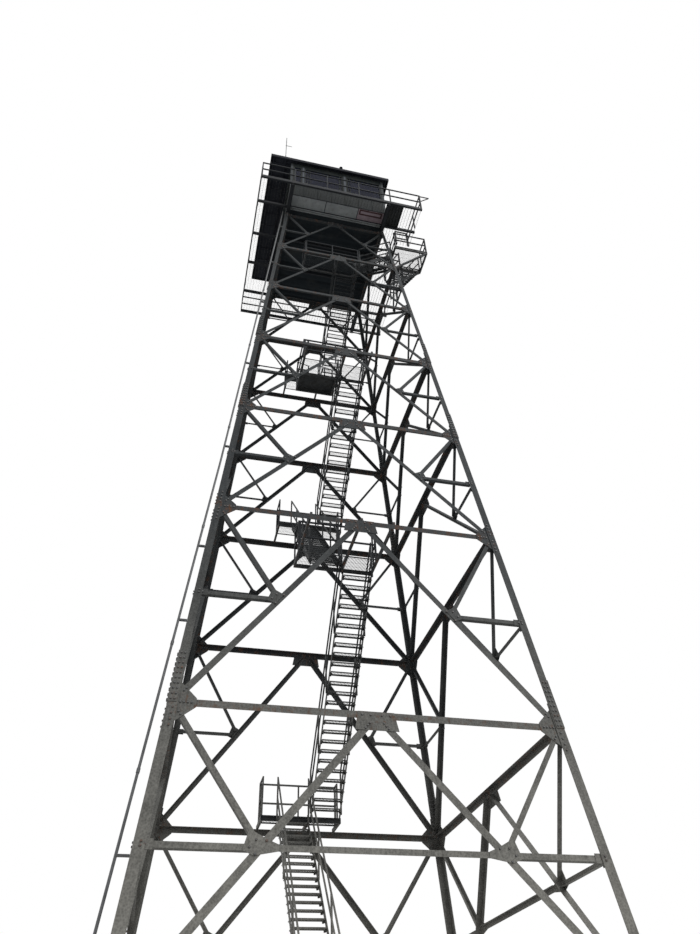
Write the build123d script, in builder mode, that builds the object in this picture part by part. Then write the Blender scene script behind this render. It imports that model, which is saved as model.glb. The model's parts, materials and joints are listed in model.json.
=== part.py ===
"""A steel fire lookout tower with a live-in cab on top.

Four leaning angle-iron legs stand on concrete piers. Horizontal struts, inverted V braces and light
sub-braces tie them on all four sides, bolted to gusset plates. Zigzag stairs climb inside, leave the
tower through its right side near the top, and end on the open catwalk round the cab.

Millimetres, +Z up. The origin is on the ground at the middle of the four legs.
The front side faces -Y, and +X is to the right of a person who looks at the front.
"""
import os
from math import atan, atan2, ceil, cos, hypot, sin

from build123d import *

os.makedirs("parts", exist_ok=True)

# Main shape of the tower
floor_height = 30480
top_half = 2134
batter = 0.0888
leg_top = 30083
level_heights = [1800, 7040, 12400, 16510, 20300, 23750, 26940]
top_strut_height = 29950

# Piers and shoes
pier_side = 940
pier_height = 420
pier_chamfer = 47
shoe_side = 480
shoe_gauge = 28
shoe_angle_height = 520
shoe_angle_gauge = 16

# Legs: angle iron that gets lighter at each splice, from the bottom up
leg_flanges = [203, 178, 152, 127]
leg_gauge = 20
butt_gap = 3
splice_heights = [7600, 17000, 20900]
splice_length = 1150
splice_gauge = 12

# Plates and bracing bars
plate_gauge = 12
bar_clearance = 12
strut_flanges = [140, 150, 150, 150, 150, 125, 125]
top_strut_flange = 125
strut_gauge = 12
brace_flanges = [150, 140, 125, 110, 100, 90, 90]
brace_gauge = 10
sub_flanges = [110, 100, 90, 80, 70, 65, 65]
sub_gauge = 8
joint_plate_halves = [520, 560, 520, 480, 450, 400, 380, 260]
top_joint_plate_over = 110
centre_plate_depth = 330

# Stairs
lane_width = 850
lane_gap = 110
lane_middle = 60
stringer_depth = 230
stringer_gauge = 12
stringer_rise_over_nosing = 50
tread_gauge = 32
tread_depth = 215
tread_rise = 205
landing_thickness = 40
landing_beam_depth = 100
landing_beam_gauge = 60
landing_depth = 650
landing_side = 470
front_landing_extra = 780
rail_height = 1050
rail_bar = 42
rail_post_spacing = 1500
rail_foot_drop = 130
landing_guard_inset = 5
foot_clearance = 75
seat_gap = 0.2
joint_gap = 0.5

# Landing levels, each with the place of its inner edge along Y
first_flight_start = -2650
back_landing_low_edge = 3250
front_landing_low_edge = -1250
back_landing_mid_edge = 2240
front_landing_mid_edge = -1550
back_landing_high_edge = 1720
front_landing_high_edge = -1500

# Outside platform beside the cab
platform_height = 28500
platform_inner = 2480
platform_outer = 3930
platform_front = -2520
platform_back = -1500
platform_beam_depth = 120
exit_width = 540
stair_head_front = 500
stair_head_back = 1400
knee_flange = 70
knee_gauge = 8

# Floor frame of the cab and catwalk
main_beam_width = 150
main_beam_depth = 180
beam_web = 12
joist_width = 80
joist_depth = 130
joist_gauge = 10
joist_places = [-3410, -2300, -740, 760, 2340, 3510]
deck_left = -3430
deck_right = 3600
deck_front = -3450
deck_back = 3550
deck_gauge = 30
slat_width = 14
slat_gap = 116

# Cab: as wide as the legs' tops, and deeper than it is wide
cab_half = 2134
cab_front = -2850
cab_back = 2450
wall_thickness = 100
cab_floor_thickness = 60
sill_height = 1020
window_height = 1500
front_mullions = [-2064, -1570, 330, 2064]
mullion_width = 120
side_windows = 3
glass_thickness = 12
door_middle = 930
door_width = 820
door_height = 2030
door_thickness = 45

# Roof, with its widest eaves over the left and the back of the catwalk
roof_left = -3070
roof_right = 2400
roof_front = -3020
roof_back = 3420
roof_under_front = 33280
roof_under_back = 33060
roof_thickness = 90
fascia_height = 180
fascia_gauge = 38
fascia_joint = 1

# Catwalk railing
walk_rail_height = 1090
walk_rail = 45
walk_post_spacing = 1450
corner_plate_width = 680
corner_plate_gauge = 8
well_clearance = 10

# Small things on the roof, the catwalk and the near left leg
mast_place = (-2400, -2800)
mast_top = 35750
mast_radius = 16
mast_arm_radius = 11
round_sides = 8
mast_arm = 260
mast_arm_height = 34950
mast_foot = 160
mast_foot_gauge = 20
vent_place = (180, -2860)
vent_radius = 45
vent_height = 380
vent_cap_radius = 80
vent_cap_height = 50
vent_sides = 12
outrigger_reach = 420
outrigger_bar = 35
conduit_radius = 27
conduit_offset_top = 130
conduit_offset_base = 265
conduit_bend_height = 14000
clamp_width = 40
clamp_heights = [1250, 4200, 8900, 11000, 14600, 18600, 22400, 25400, 28600]

# Worked-out places
lean = atan(batter)
base_half = top_half + batter * floor_height
sides = ["front", "right", "back", "left"]
corners = ["near_left", "near_right", "far_right", "far_left"]
bar_seat = leg_gauge + plate_gauge
front_face = Plane(origin=(0, -base_half, 0), x_dir=(1, 0, 0), z_dir=(0, -cos(lean), sin(lean)))


def half_width(height):
    """Half the spacing of the legs' outer corners at a height above the ground."""
    return base_half - batter * height


def up_face(height):
    """Distance up the leaning side for a height above the ground."""
    return height / cos(lean)


def finish(piece, name):
    """Label a finished piece and write it under its name."""
    piece.part.label = name
    export_step(piece.part, f"parts/{name}.step")


def box_of(first, second):
    """Box between two opposite corners, not yet added to a piece."""
    size = [abs(b - a) for a, b in zip(first, second)]
    middle = [(a + b) / 2 for a, b in zip(first, second)]
    return Pos(*middle) * Box(*size, mode=Mode.PRIVATE)


def angle_section(plane, flange, gauge, side):
    """Face of an angle bar: one flange flat on the plane's X axis, one standing towards -Y."""
    edge = side * flange / 2
    with BuildSketch(plane) as section:
        with BuildLine():
            Polyline((-edge, 0), (edge, 0), (edge, -flange), (edge - side * gauge, -flange),
                     (edge - side * gauge, -gauge), (-edge, -gauge), close=True)
        make_face()
    return section


def face_bar(start, end, flange, gauge, side=1):
    """Add an angle bar to the front side, from point to point in that side's own plane."""
    foot = front_face.from_local_coords(Vector(start[0], start[1], -bar_seat))
    head = front_face.from_local_coords(Vector(end[0], end[1], -bar_seat))
    along = (head - foot).normalized()
    across = along.cross(front_face.z_dir * -1)
    section = angle_section(Plane(origin=foot, x_dir=across, z_dir=along), flange, gauge, side)
    extrude(section.sketch, amount=(head - foot).length)


def face_plate(points):
    """Add a gusset plate to the front side, against the inside of the legs' flanges."""
    with BuildSketch(front_face.offset(-leg_gauge)) as outline:
        with BuildLine():
            Polyline(*points, close=True)
        make_face()
    extrude(outline.sketch, amount=-plate_gauge)


def shift(point, angle, distance):
    """Point at a distance from another one, at an angle above the horizontal."""
    return (point[0] + distance * cos(angle), point[1] + distance * sin(angle))


def clear_of(own, other, angle):
    """How far from a shared point a bar of one flange starts to clear a bar of another."""
    return (other / 2 + own / 2 * abs(cos(angle))) / abs(sin(angle)) + bar_clearance


def clear_of_corner(flange, angle, standing):
    """How far from a leg joint a bar starts, so that it clears the bars of the next side."""
    reach = bar_seat + standing + bar_clearance - work_inset
    rising, running = abs(sin(angle)), abs(cos(angle))
    return (reach + flange / 2 * (rising + batter * running)) / (running - batter * rising)


# The bars' lines meet in the middle of the legs' widest flange
work_inset = leg_flanges[0] / 2
all_levels = level_heights + [top_strut_height]
all_struts = strut_flanges + [top_strut_flange]
plate_margin = leg_gauge + plate_gauge + bar_clearance / 2
tier_count = len(level_heights)


def joint(level):
    """Right-hand joint of a level in the front side's plane."""
    height = all_levels[level]
    return (half_width(height) - work_inset, up_face(height))


def brace_angle(tier):
    """Angle above the horizontal of a tier's main brace, from its foot to the strut's middle."""
    foot, head = joint(tier), (0, joint(tier + 1)[1])
    return atan2(head[1] - foot[1], foot[0])


def brace_middle(tier):
    """Middle of a tier's right-hand main brace."""
    foot, head = joint(tier), (0, joint(tier + 1)[1])
    return ((foot[0] + head[0]) / 2, (foot[1] + head[1]) / 2)


def sub_brace_angle(tier):
    """Angle of the sub-brace from the brace's middle up to the joint above."""
    middle, head = brace_middle(tier), joint(tier + 1)
    return atan2(head[1] - middle[1], head[0] - middle[0])


def on_side(point, side):
    """The same point of the front side on its right half (1) or its left half (-1)."""
    return (side * point[0], point[1])


def on_four_sides(front, kind):
    """Write the front side's piece, and the same piece turned to the other three sides."""
    for turn, side in enumerate(sides):
        with BuildPart() as turned:
            add(front.part, rotation=(0, 0, 90 * turn))
        finish(turned, f"{side}_{kind}")


# Piers and shoes
pier_place = half_width(pier_height) - shoe_side / 2 + leg_flanges[0] / 2
with BuildPart() as piers:
    with Locations((0, 0, pier_height / 2)):
        with GridLocations(2 * pier_place, 2 * pier_place, 2, 2):
            Box(pier_side, pier_side, pier_height)
    chamfer(piers.edges().group_by(Axis.Z)[-1], length=pier_chamfer)
finish(piers, "concrete_piers")

leg_base = pier_height + shoe_gauge


def leg_direction(turn):
    """Direction of a leg up from its foot: 0 is near left, and each turn goes on to the right."""
    signs = ((1, 1), (-1, 1), (-1, -1), (1, -1))[turn]
    return Vector(signs[0] * batter, signs[1] * batter, 1)


def leg_section(height, flange, gauge, inset=0):
    """Near left leg's section at a height, with its outer corner on the tower's corner line."""
    corner = -half_width(height) + inset
    with BuildSketch(Plane.XY.offset(height)) as section:
        with BuildLine():
            Polyline((corner, corner), (corner + flange, corner), (corner + flange, corner + gauge),
                     (corner + gauge, corner + gauge), (corner + gauge, corner + flange),
                     (corner, corner + flange), close=True)
        make_face()
    return section


def leg_run(low, high, flange, gauge, inset=0):
    """Add a run of the near left leg between two heights."""
    section = leg_section(low, flange, gauge, inset)
    direction = leg_direction(0)
    extrude(section.sketch, amount=(high - low) * direction.length, dir=direction)


leg_breaks = [leg_base] + splice_heights + [leg_top]
with BuildPart() as leg:
    for low, high, flange in zip(leg_breaks, leg_breaks[1:], leg_flanges):
        leg_run(low, high - butt_gap, flange, leg_gauge)

for turn, corner_name in enumerate(corners):
    with BuildPart() as turned_leg:
        add(leg.part, rotation=(0, 0, 90 * turn))
    finish(turned_leg, f"leg_{corner_name}")

# Splice angles lie on the outside of each change of section
with BuildPart() as splice_set:
    for height, flange in zip(splice_heights, leg_flanges[1:]):
        leg_run(height - splice_length / 2, height + splice_length / 2, flange + splice_gauge,
                splice_gauge, inset=-splice_gauge)
with BuildPart() as splices:
    for turn in range(4):
        add(splice_set.part, rotation=(0, 0, 90 * turn))
finish(splices, "leg_splices")

# Shoes: a base plate on each pier, with two upright angles against the leg's flanges
with BuildPart() as shoe:
    plate_low = -pier_place - shoe_side / 2
    plate_high = plate_low + shoe_side
    add(box_of((plate_low, plate_low, pier_height), (plate_high, plate_high, leg_base)))
    leg_run(leg_base, leg_base + shoe_angle_height, leg_flanges[0] + shoe_angle_gauge, shoe_angle_gauge,
            inset=-shoe_angle_gauge)
with BuildPart() as shoes:
    for turn in range(4):
        add(shoe.part, rotation=(0, 0, 90 * turn))
finish(shoes, "leg_shoes")

# Struts: one across each side at every level, and one under the cab
with BuildPart() as front_struts:
    for level, flange in enumerate(all_struts):
        end_gap = bar_seat + max(all_struts) + bar_clearance
        reach = half_width(all_levels[level]) - end_gap
        height = up_face(all_levels[level])
        face_bar((-reach, height), (reach, height), flange, strut_gauge)
on_four_sides(front_struts, "struts")

# Main braces: an inverted V in each tier, from the strut's middle down to the legs
with BuildPart() as front_braces:
    for tier in range(tier_count):
        flange = brace_flanges[tier]
        angle = brace_angle(tier)
        foot, head = joint(tier), (0, joint(tier + 1)[1])
        foot_gap = max(clear_of(flange, all_struts[tier], angle), clear_of_corner(flange, angle, flange))
        head_gap = clear_of(flange, all_struts[tier + 1], angle)
        low = (foot[0] - foot_gap * cos(angle), foot[1] + foot_gap * sin(angle))
        top = (head[0] + head_gap * cos(angle), head[1] - head_gap * sin(angle))
        for side in (1, -1):
            face_bar(on_side(low, side), on_side(top, side), flange, brace_gauge, side=-side)
on_four_sides(front_braces, "braces")


def sub_strut_ends(tier):
    """Ends of the right-hand sub-strut, which runs level from the leg to the brace's middle."""
    middle = brace_middle(tier)
    corner = half_width(middle[1] * cos(lean))
    outer = corner - bar_seat - sub_flanges[tier] - bar_clearance
    inner = middle[0] + clear_of(sub_flanges[tier], brace_flanges[tier], brace_angle(tier))
    return (inner, middle[1]), (outer, middle[1])


def sub_brace_ends(tier):
    """Ends of the right-hand sub-brace, from the brace's middle to the joint above."""
    flange, angle = sub_flanges[tier], sub_brace_angle(tier)
    middle, head = brace_middle(tier), joint(tier + 1)
    low_gap = max(clear_of(flange, brace_flanges[tier], angle + brace_angle(tier)),
                  clear_of(flange, flange, angle))
    high_gap = max(clear_of(flange, all_struts[tier + 1], angle), clear_of_corner(flange, angle, flange))
    return shift(middle, angle, low_gap), shift(head, angle, -high_gap)


def sub_bar_sides(tier, open_exit):
    """Sides of a tier that have sub-bars: the stairs leave through the right side's top tier."""
    return (1,) if open_exit and tier == tier_count - 1 else (1, -1)


def sub_bars(open_exit):
    """Make the sub-braces, sub-struts and lowest tie of one side, in the front side's place."""
    with BuildPart() as bars:
        for tier in range(tier_count):
            flange = sub_flanges[tier]
            for side in sub_bar_sides(tier, open_exit):
                for start, end in (sub_strut_ends(tier), sub_brace_ends(tier)):
                    face_bar(on_side(start, side), on_side(end, side), flange, sub_gauge, side=-side)
        tie_end = brace_middle(0)[0] - clear_of(sub_flanges[0], brace_flanges[0], brace_angle(0))
        tie_height = brace_middle(0)[1]
        face_bar((-tie_end, tie_height), (tie_end, tie_height), sub_flanges[0], sub_gauge)
    return bars


def on_four_sides_but_exit(make, kind):
    """Write a piece for each side, made without the bars that would cross the stairs' way out."""
    for turn, side in enumerate(sides):
        with BuildPart() as turned:
            add(make(side == "right").part, rotation=(0, 0, 90 * turn))
        finish(turned, f"{side}_{kind}")


on_four_sides_but_exit(sub_bars, "sub_braces")


def joint_plate(level, half, over, flange):
    """Outline of the right-hand gusset at a level: long along the leg, short at its inner end."""
    height = all_levels[level]
    middle = up_face(height)
    reach = half_width(height) - half
    low = half_width(height - half * cos(lean)) - plate_margin
    high = half_width(height + over * cos(lean)) - plate_margin
    return [(low, middle - half), (high, middle + over), (reach, middle + flange),
            (reach, middle - flange)]


def centre_plate(level, flange, brace):
    """Outline of the gusset under a strut's middle."""
    middle = up_face(all_levels[level])
    wide = centre_plate_depth / 2 + 2 * brace
    narrow = wide - brace / 2
    return [(-wide, middle - centre_plate_depth), (wide, middle - centre_plate_depth),
            (narrow, middle + flange / 2), (-narrow, middle + flange / 2)]


def middle_plate(tier):
    """Outline of the plate at a brace's middle, with its two sub-bars and the lowest tier's tie."""
    middle, angle = brace_middle(tier), brace_angle(tier)
    flange, half = brace_flanges[tier], sub_flanges[tier] / 2
    reach = clear_of(sub_flanges[tier], flange, angle) + 3 * half
    along = 1.2 * flange
    inner = middle[0] - reach
    tie = [(inner, middle[1] + half), (inner, middle[1] - half)] if tier == 0 else []
    return [shift(middle, -angle, along), (middle[0] + reach, middle[1] - half),
            shift(middle, sub_brace_angle(tier), 1.15 * reach), shift(middle, -angle, -along)] + tie


def leg_plate(tier):
    """Outline of the small plate where a sub-strut meets the leg."""
    inner, outer = sub_strut_ends(tier)
    half = 0.8 * sub_flanges[tier]
    corner = half_width(outer[1] * cos(lean)) - plate_margin - half * batter
    reach = outer[0] - 1.6 * sub_flanges[tier]
    return [(reach, outer[1] - half), (corner, outer[1] - half), (corner, outer[1] + half),
            (reach, outer[1] + half)]


with BuildPart() as front_joint_plates:
    for level, half in enumerate(joint_plate_halves):
        over = top_joint_plate_over if level == tier_count else half
        outline = joint_plate(level, half, over, 0.62 * all_struts[level])
        face_plate(outline)
        face_plate([on_side(point, -1) for point in outline])
    for level in range(1, tier_count + 1):
        face_plate(centre_plate(level, all_struts[level], brace_flanges[level - 1]))
on_four_sides(front_joint_plates, "gussets")


def small_plates(open_exit):
    """Make the plates at the ends of one side's sub-bars, in the front side's place."""
    with BuildPart() as plates:
        for tier in range(tier_count):
            for side in sub_bar_sides(tier, open_exit):
                for outline in (middle_plate(tier), leg_plate(tier)):
                    face_plate([on_side(point, side) for point in outline])
    return plates


on_four_sides_but_exit(small_plates, "sub_gussets")

# Stairs
left_lane = (lane_middle - lane_gap / 2 - lane_width, lane_middle - lane_gap / 2)
right_lane = (lane_middle + lane_gap / 2, lane_middle + lane_gap / 2 + lane_width)


def strut_shelf(height, flange):
    """Height of the shelf that a strut's standing flange makes on the inside."""
    return (up_face(height) + flange / 2) * cos(lean) - (bar_seat + strut_gauge) * sin(lean) + seat_gap


def landing_level(level):
    """Height of the walking surface of a landing whose beams lie on a level's struts."""
    return strut_shelf(all_levels[level], all_struts[level]) + landing_beam_depth + landing_thickness


landing_left, landing_right = left_lane[0] - landing_side, right_lane[1]
landing_edges = [(1, back_landing_low_edge, 1), (2, front_landing_low_edge, -1),
                 (3, back_landing_mid_edge, 1), (4, front_landing_mid_edge, -1),
                 (5, back_landing_high_edge, 1), (6, front_landing_high_edge, -1)]
wide_landing = 4


def landing_heights(level):
    """Underside of a landing's joists, underside of its deck, and its walking surface."""
    top = landing_level(level)
    under = top - landing_thickness
    return under - landing_beam_depth, under, top


def decks(level, edge, direction):
    """Boxes of a landing's deck and of the rim under its inner edge."""
    low, under, top = landing_heights(level)
    rim = edge + direction * landing_beam_gauge
    boxes = [box_of((landing_left, edge, under), (landing_right, edge + direction * landing_depth, top)),
             box_of((landing_left, edge, low), (landing_right, rim, under))]
    if level == wide_landing:
        near, far = edge - direction * joint_gap, edge - direction * front_landing_extra
        rim = far + direction * landing_beam_gauge
        boxes += [box_of((landing_left, near, under), (left_lane[1], far, top)),
                  box_of((landing_left, far, low), (left_lane[1], rim, under))]
    return boxes


def landing_joists(level, edge, direction):
    """Boxes of the joists from a landing's rim out to the struts of one side."""
    low, under, top = landing_heights(level)
    outer = direction * (half_width(low) - bar_seat - strut_gauge)
    rim = edge + direction * landing_beam_gauge
    places = (landing_left, lane_middle - landing_beam_gauge / 2, landing_right - landing_beam_gauge)
    boxes = [box_of((place, rim, low), (place + landing_beam_gauge, outer, under)) for place in places]
    if level == wide_landing:
        near = edge - direction * joint_gap
        rim = edge - direction * (front_landing_extra - landing_beam_gauge)
        for place in (landing_left, left_lane[1] - landing_beam_gauge):
            boxes.append(box_of((place, near, low), (place + landing_beam_gauge, rim, under)))
    return boxes


with BuildPart() as landings:
    for place in landing_edges:
        add(decks(*place))
finish(landings, "stair_landings")

with BuildPart() as joists_under_landings:
    for place in landing_edges:
        add(landing_joists(*place))
finish(joists_under_landings, "landing_joists")


class Flight:
    """One straight flight: its two ends in its own direction, its heights and its lane."""

    def __init__(self, start, end, low, high, lane, axis="y"):
        self.start, self.end, self.low, self.high = start, end, low, high
        self.lane, self.axis = lane, axis
        self.count = round((high - low) / tread_rise)
        self.rise = (high - low) / self.count
        self.slope = (high - low) / abs(end - start)
        self.sense = 1 if end > start else -1
        self.rails_from = self.place(low + self.rise)

    def place(self, height):
        """Place of the nosing line at a height."""
        return self.start + self.sense * (height - self.low) / self.slope

    def nosing(self, place):
        """Height of the nosing line at a place."""
        return self.low + (place - self.start) * self.sense * self.slope

    def corner(self, across, along, height):
        """Point of the flight in the tower's own axes."""
        return (across, along, height) if self.axis == "y" else (along, across, height)

    def side_plane(self, across):
        """Vertical plane along the flight, with X up the flight and Y up."""
        if self.axis == "y":
            return Plane(origin=(across, 0, 0), x_dir=(0, 1, 0), z_dir=(1, 0, 0))
        return Plane(origin=(0, across, 0), x_dir=(1, 0, 0), z_dir=(0, -1, 0))


def stringer(flight, across, gauge):
    """Add one stringer, cut level where it stands and upright where it meets the landing."""
    over, under = stringer_rise_over_nosing, stringer_depth - stringer_rise_over_nosing
    low = flight.low
    reach = flight.end
    top = flight.high
    with BuildSketch(flight.side_plane(across)) as outline:
        with BuildLine():
            Polyline((flight.place(low - over), low), (flight.place(low + under), low),
                     (reach, top - under), (reach, top + over), close=True)
        make_face()
    extrude(outline.sketch, amount=gauge)


def flight_stringers(flight):
    """Add both stringers of a flight, just inside its lane."""
    near, far = flight.lane
    if flight.axis == "y":
        stringer(flight, near, stringer_gauge)
        stringer(flight, far - stringer_gauge, stringer_gauge)
    else:
        stringer(flight, near + stringer_gauge, stringer_gauge)
        stringer(flight, far, stringer_gauge)


def flight_treads(flight):
    """Boxes of a flight's treads, which fit between its stringers."""
    near, far = flight.lane[0] + stringer_gauge, flight.lane[1] - stringer_gauge
    treads = []
    for step in range(1, flight.count):
        top = flight.low + step * flight.rise
        nose = flight.place(top)
        back = nose + flight.sense * tread_depth
        low_corner = flight.corner(near, nose, top - tread_gauge)
        treads.append(box_of(low_corner, flight.corner(far, back, top)))
    return treads


def sloping_rail(flight, across, over):
    """Add a rail along a flight at a height over its nosing line."""
    start, end = flight.rails_from, flight.end
    low, top = flight.nosing(start) + over, flight.high + over
    with BuildSketch(flight.side_plane(across)) as outline:
        with BuildLine():
            Polyline((start, low - rail_bar), (end, top - rail_bar), (end, top), (start, low),
                     close=True)
        make_face()
    extrude(outline.sketch, amount=rail_bar)


def flight_rails(flight):
    """Add the handrails of a flight, whose posts stand against the outsides of its stringers."""
    first = flight.rails_from + flight.sense * rail_bar / 2
    run = flight.end - flight.sense * rail_bar / 2 - first
    gaps = ceil(abs(run) / rail_post_spacing)
    left, right = flight.lane
    for near, far in ((left - rail_bar, left), (right, right + rail_bar)):
        across = near if flight.axis == "y" else far
        sloping_rail(flight, across, rail_height)
        sloping_rail(flight, across, rail_height / 2)
        posts = []
        for number in range(gaps + 1):
            place = first + run * number / gaps
            height = flight.nosing(place)
            head = height + rail_height - rail_bar * flight.slope / 2
            posts.append(box_of(flight.corner(near, place - rail_bar / 2, height - rail_foot_drop),
                                flight.corner(far, place + rail_bar / 2, head)))
        add(posts)


def guard(path, low, height, bar, spacing):
    """Boxes of a guard rail: each straight run has its own posts, a top rail and a middle rail."""
    boxes = []
    for number, (start, end) in enumerate(zip(path, path[1:])):
        length = hypot(end[0] - start[0], end[1] - start[1])
        step = ((end[0] - start[0]) / length, (end[1] - start[1]) / length)
        skipped = bar + joint_gap if number else 0
        gaps = ceil((length - skipped) / spacing)
        spots = []
        for post in range(gaps + 1):
            along = skipped + (length - skipped) * post / gaps
            spots.append((start[0] + step[0] * along, start[1] + step[1] * along))
        boxes += [box_of((x - bar / 2, y - bar / 2, low), (x + bar / 2, y + bar / 2, low + height))
                  for x, y in spots]
        low_x, high_x = sorted((spots[0][0], spots[-1][0]))
        low_y, high_y = sorted((spots[0][1], spots[-1][1]))
        for top in (low + height, low + height / 2):
            boxes.append(box_of((low_x - bar / 2, low_y - bar / 2, top - bar),
                                (high_x + bar / 2, high_y + bar / 2, top)))
    return boxes


stand_back = stringer_depth
levels = {level: landing_level(level) for level in range(1, tier_count)}
flights = [
    Flight(first_flight_start, back_landing_low_edge, 0, levels[1], left_lane),
    Flight(back_landing_low_edge + stand_back, front_landing_low_edge, levels[1], levels[2], right_lane),
    Flight(front_landing_low_edge - stand_back, back_landing_mid_edge, levels[2], levels[3], left_lane),
    Flight(back_landing_mid_edge + stand_back, front_landing_mid_edge, levels[3], levels[4], right_lane),
    Flight(front_landing_mid_edge + front_landing_extra - stand_back, back_landing_high_edge, levels[4],
           levels[5], left_lane),
    Flight(back_landing_high_edge + stand_back, front_landing_high_edge, levels[5], levels[6],
           right_lane),
]
exit_lane = (platform_back - joint_gap - exit_width, platform_back - joint_gap)
exit_flight = Flight(right_lane[1] - stand_back, platform_inner, levels[6], platform_height,
                     exit_lane, "x")
exit_flight.rails_from = right_lane[1] + rail_bar + joint_gap
deck_low = leg_top - butt_gap + main_beam_depth + joist_depth
walk_level = deck_low + deck_gauge
head_lane = (platform_outer - lane_width, platform_outer)
head_flight = Flight(platform_back - stand_back, stair_head_front, platform_height, walk_level,
                     head_lane)
stair_flights = flights + [exit_flight, head_flight]
with BuildPart() as stringers:
    for flight in stair_flights:
        flight_stringers(flight)
finish(stringers, "stair_stringers")

with BuildPart() as lower_treads:
    for flight in flights[:3]:
        add(flight_treads(flight))
finish(lower_treads, "lower_stair_treads")

with BuildPart() as upper_treads:
    for flight in flights[3:]:
        add(flight_treads(flight))
finish(upper_treads, "upper_stair_treads")

with BuildPart() as outside_treads:
    for flight in (exit_flight, head_flight):
        add(flight_treads(flight))
finish(outside_treads, "outside_stair_treads")

with BuildPart() as handrails:
    for flight in stair_flights:
        flight_rails(flight)
finish(handrails, "stair_handrails")

# Guards round the outer sides of each landing
inset = rail_bar / 2 + landing_guard_inset
with BuildPart() as landing_guards:
    for level, edge, direction in landing_edges:
        left, right = landing_left + inset, landing_right - inset
        outer = edge + direction * (landing_depth - inset)
        near = edge + direction * inset
        beside_flight = near + direction * (stand_back + foot_clearance)
        path = [(left, near), (left, outer), (right, outer), (right, beside_flight)]
        if level == wide_landing:
            far = edge - direction * (front_landing_extra - inset)
            path = [(left_lane[0] - rail_bar - inset, far), (left, far)] + path[1:]
        if level == 6:
            path = path[:3]
        add(guard(path, levels[level], rail_height, rail_bar, rail_post_spacing))
finish(landing_guards, "landing_guards")

# Outside platform at the right side, with two knee braces down to the tower's right side
platform_under = platform_height - landing_thickness
platform_low = platform_under - platform_beam_depth
with BuildPart() as platform:
    deck = [box_of((platform_inner, platform_front, platform_under),
                   (platform_outer, platform_back, platform_height))]
    for x in (platform_inner, platform_outer - landing_beam_gauge):
        deck.append(box_of((x, platform_front, platform_low),
                           (x + landing_beam_gauge, platform_back, platform_under)))
    for y in (platform_front, platform_back - landing_beam_gauge):
        deck.append(box_of((platform_inner, y, platform_low),
                           (platform_outer, y + landing_beam_gauge, platform_under)))
    # A short stub ties the platform to the near right leg
    stub_place = -half_width(platform_height) + leg_gauge
    deck.append(box_of((half_width(platform_low), stub_place, platform_low),
                       (platform_inner - joint_gap, stub_place + landing_beam_gauge, platform_under)))
    add(deck)
finish(platform, "outside_platform")

right_face = Plane(origin=(base_half, 0, 0), x_dir=(0, 1, 0), z_dir=(cos(lean), 0, sin(lean)))
knee_foot = level_heights[-1]


def knee(outer_y, foot_y, seat):
    """Make a knee brace from the platform's outer beam down to the right side, at a depth in it."""
    head = Vector(platform_outer - landing_beam_gauge / 2, outer_y, platform_low)
    foot = Vector(half_width(knee_foot) - seat, foot_y, knee_foot)
    along = (head - foot).normalized()
    plane = Plane(origin=foot - along * knee_flange * 2, x_dir=along.cross(Vector(0, 0, 1)), z_dir=along)
    with BuildPart() as bar:
        section = angle_section(plane, knee_flange, knee_gauge, 1)
        extrude(section.sketch, amount=(head - foot).length + 4 * knee_flange)
        split(bisect_by=Plane.XY.offset(platform_low), keep=Keep.BOTTOM)
        split(bisect_by=right_face.offset(-seat), keep=Keep.TOP)
    return bar.part


leg_knee_foot = knee_flange / 2 + leg_gauge - half_width(knee_foot)
back_knee_place = platform_back - landing_beam_gauge / 2
front_knee = knee(platform_front + landing_beam_gauge / 2, leg_knee_foot, 0)
back_knee = knee(back_knee_place, back_knee_place, bar_seat)
with BuildPart() as knees:
    add([front_knee, back_knee])
finish(knees, "platform_braces")

with BuildPart() as platform_guard:
    guard_left, guard_right = platform_inner + inset, platform_outer - inset
    guard_front, guard_back = platform_front + inset, platform_back - inset
    outer_path = [(guard_left, guard_front), (guard_right, guard_front),
                  (guard_right, guard_back - stand_back - foot_clearance)]
    back_path = [(guard_left, guard_back), (head_lane[0] - rail_bar - inset, guard_back)]
    for path in (outer_path, back_path):
        add(guard(path, platform_height, rail_height, rail_bar, rail_post_spacing))
finish(platform_guard, "platform_guard")

# Main beams along the tower's depth, on the legs' tops
beam_place = half_width(leg_top) - main_beam_width / 2
beam_low = leg_top - butt_gap
with BuildPart() as main_beams:
    with BuildSketch(Plane.XZ.offset(-deck_back)):
        with Locations(*[(side * beam_place, beam_low + main_beam_depth / 2) for side in (-1, 1)]):
            Rectangle(main_beam_width, main_beam_depth)
        for side in (-1, 1):
            for flank in (-1, 1):
                hollow_wide = (main_beam_width - beam_web) / 2
                middle = side * beam_place + flank * (beam_web + hollow_wide) / 2
                with Locations((middle, beam_low + main_beam_depth / 2)):
                    Rectangle(hollow_wide, main_beam_depth - 2 * beam_web, mode=Mode.SUBTRACT)
    extrude(amount=deck_back - deck_front)
finish(main_beams, "main_beams")

# Joists across the beams; two of them are shorter or longer beside the head of the stairs
joist_low = beam_low + main_beam_depth
well_edge = head_lane[0] - rail_bar - well_clearance
joist_ends = [deck_right, deck_right, well_edge, head_lane[1], deck_right, deck_right]
with BuildPart() as joists:
    for place, end in zip(joist_places, joist_ends):
        with BuildSketch(Plane.YZ.offset(deck_left)):
            with Locations((place, joist_low + joist_depth / 2)):
                Rectangle(joist_width, joist_depth)
            with Locations((place + joist_gauge, joist_low + joist_depth / 2)):
                Rectangle(joist_width, joist_depth - 2 * joist_gauge, mode=Mode.SUBTRACT)
        extrude(amount=end - deck_left)
finish(joists, "catwalk_joists")

# Catwalk: slats along the tower's depth, left out under the cab and over the head of the stairs
slat_pitch = slat_width + slat_gap


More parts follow.
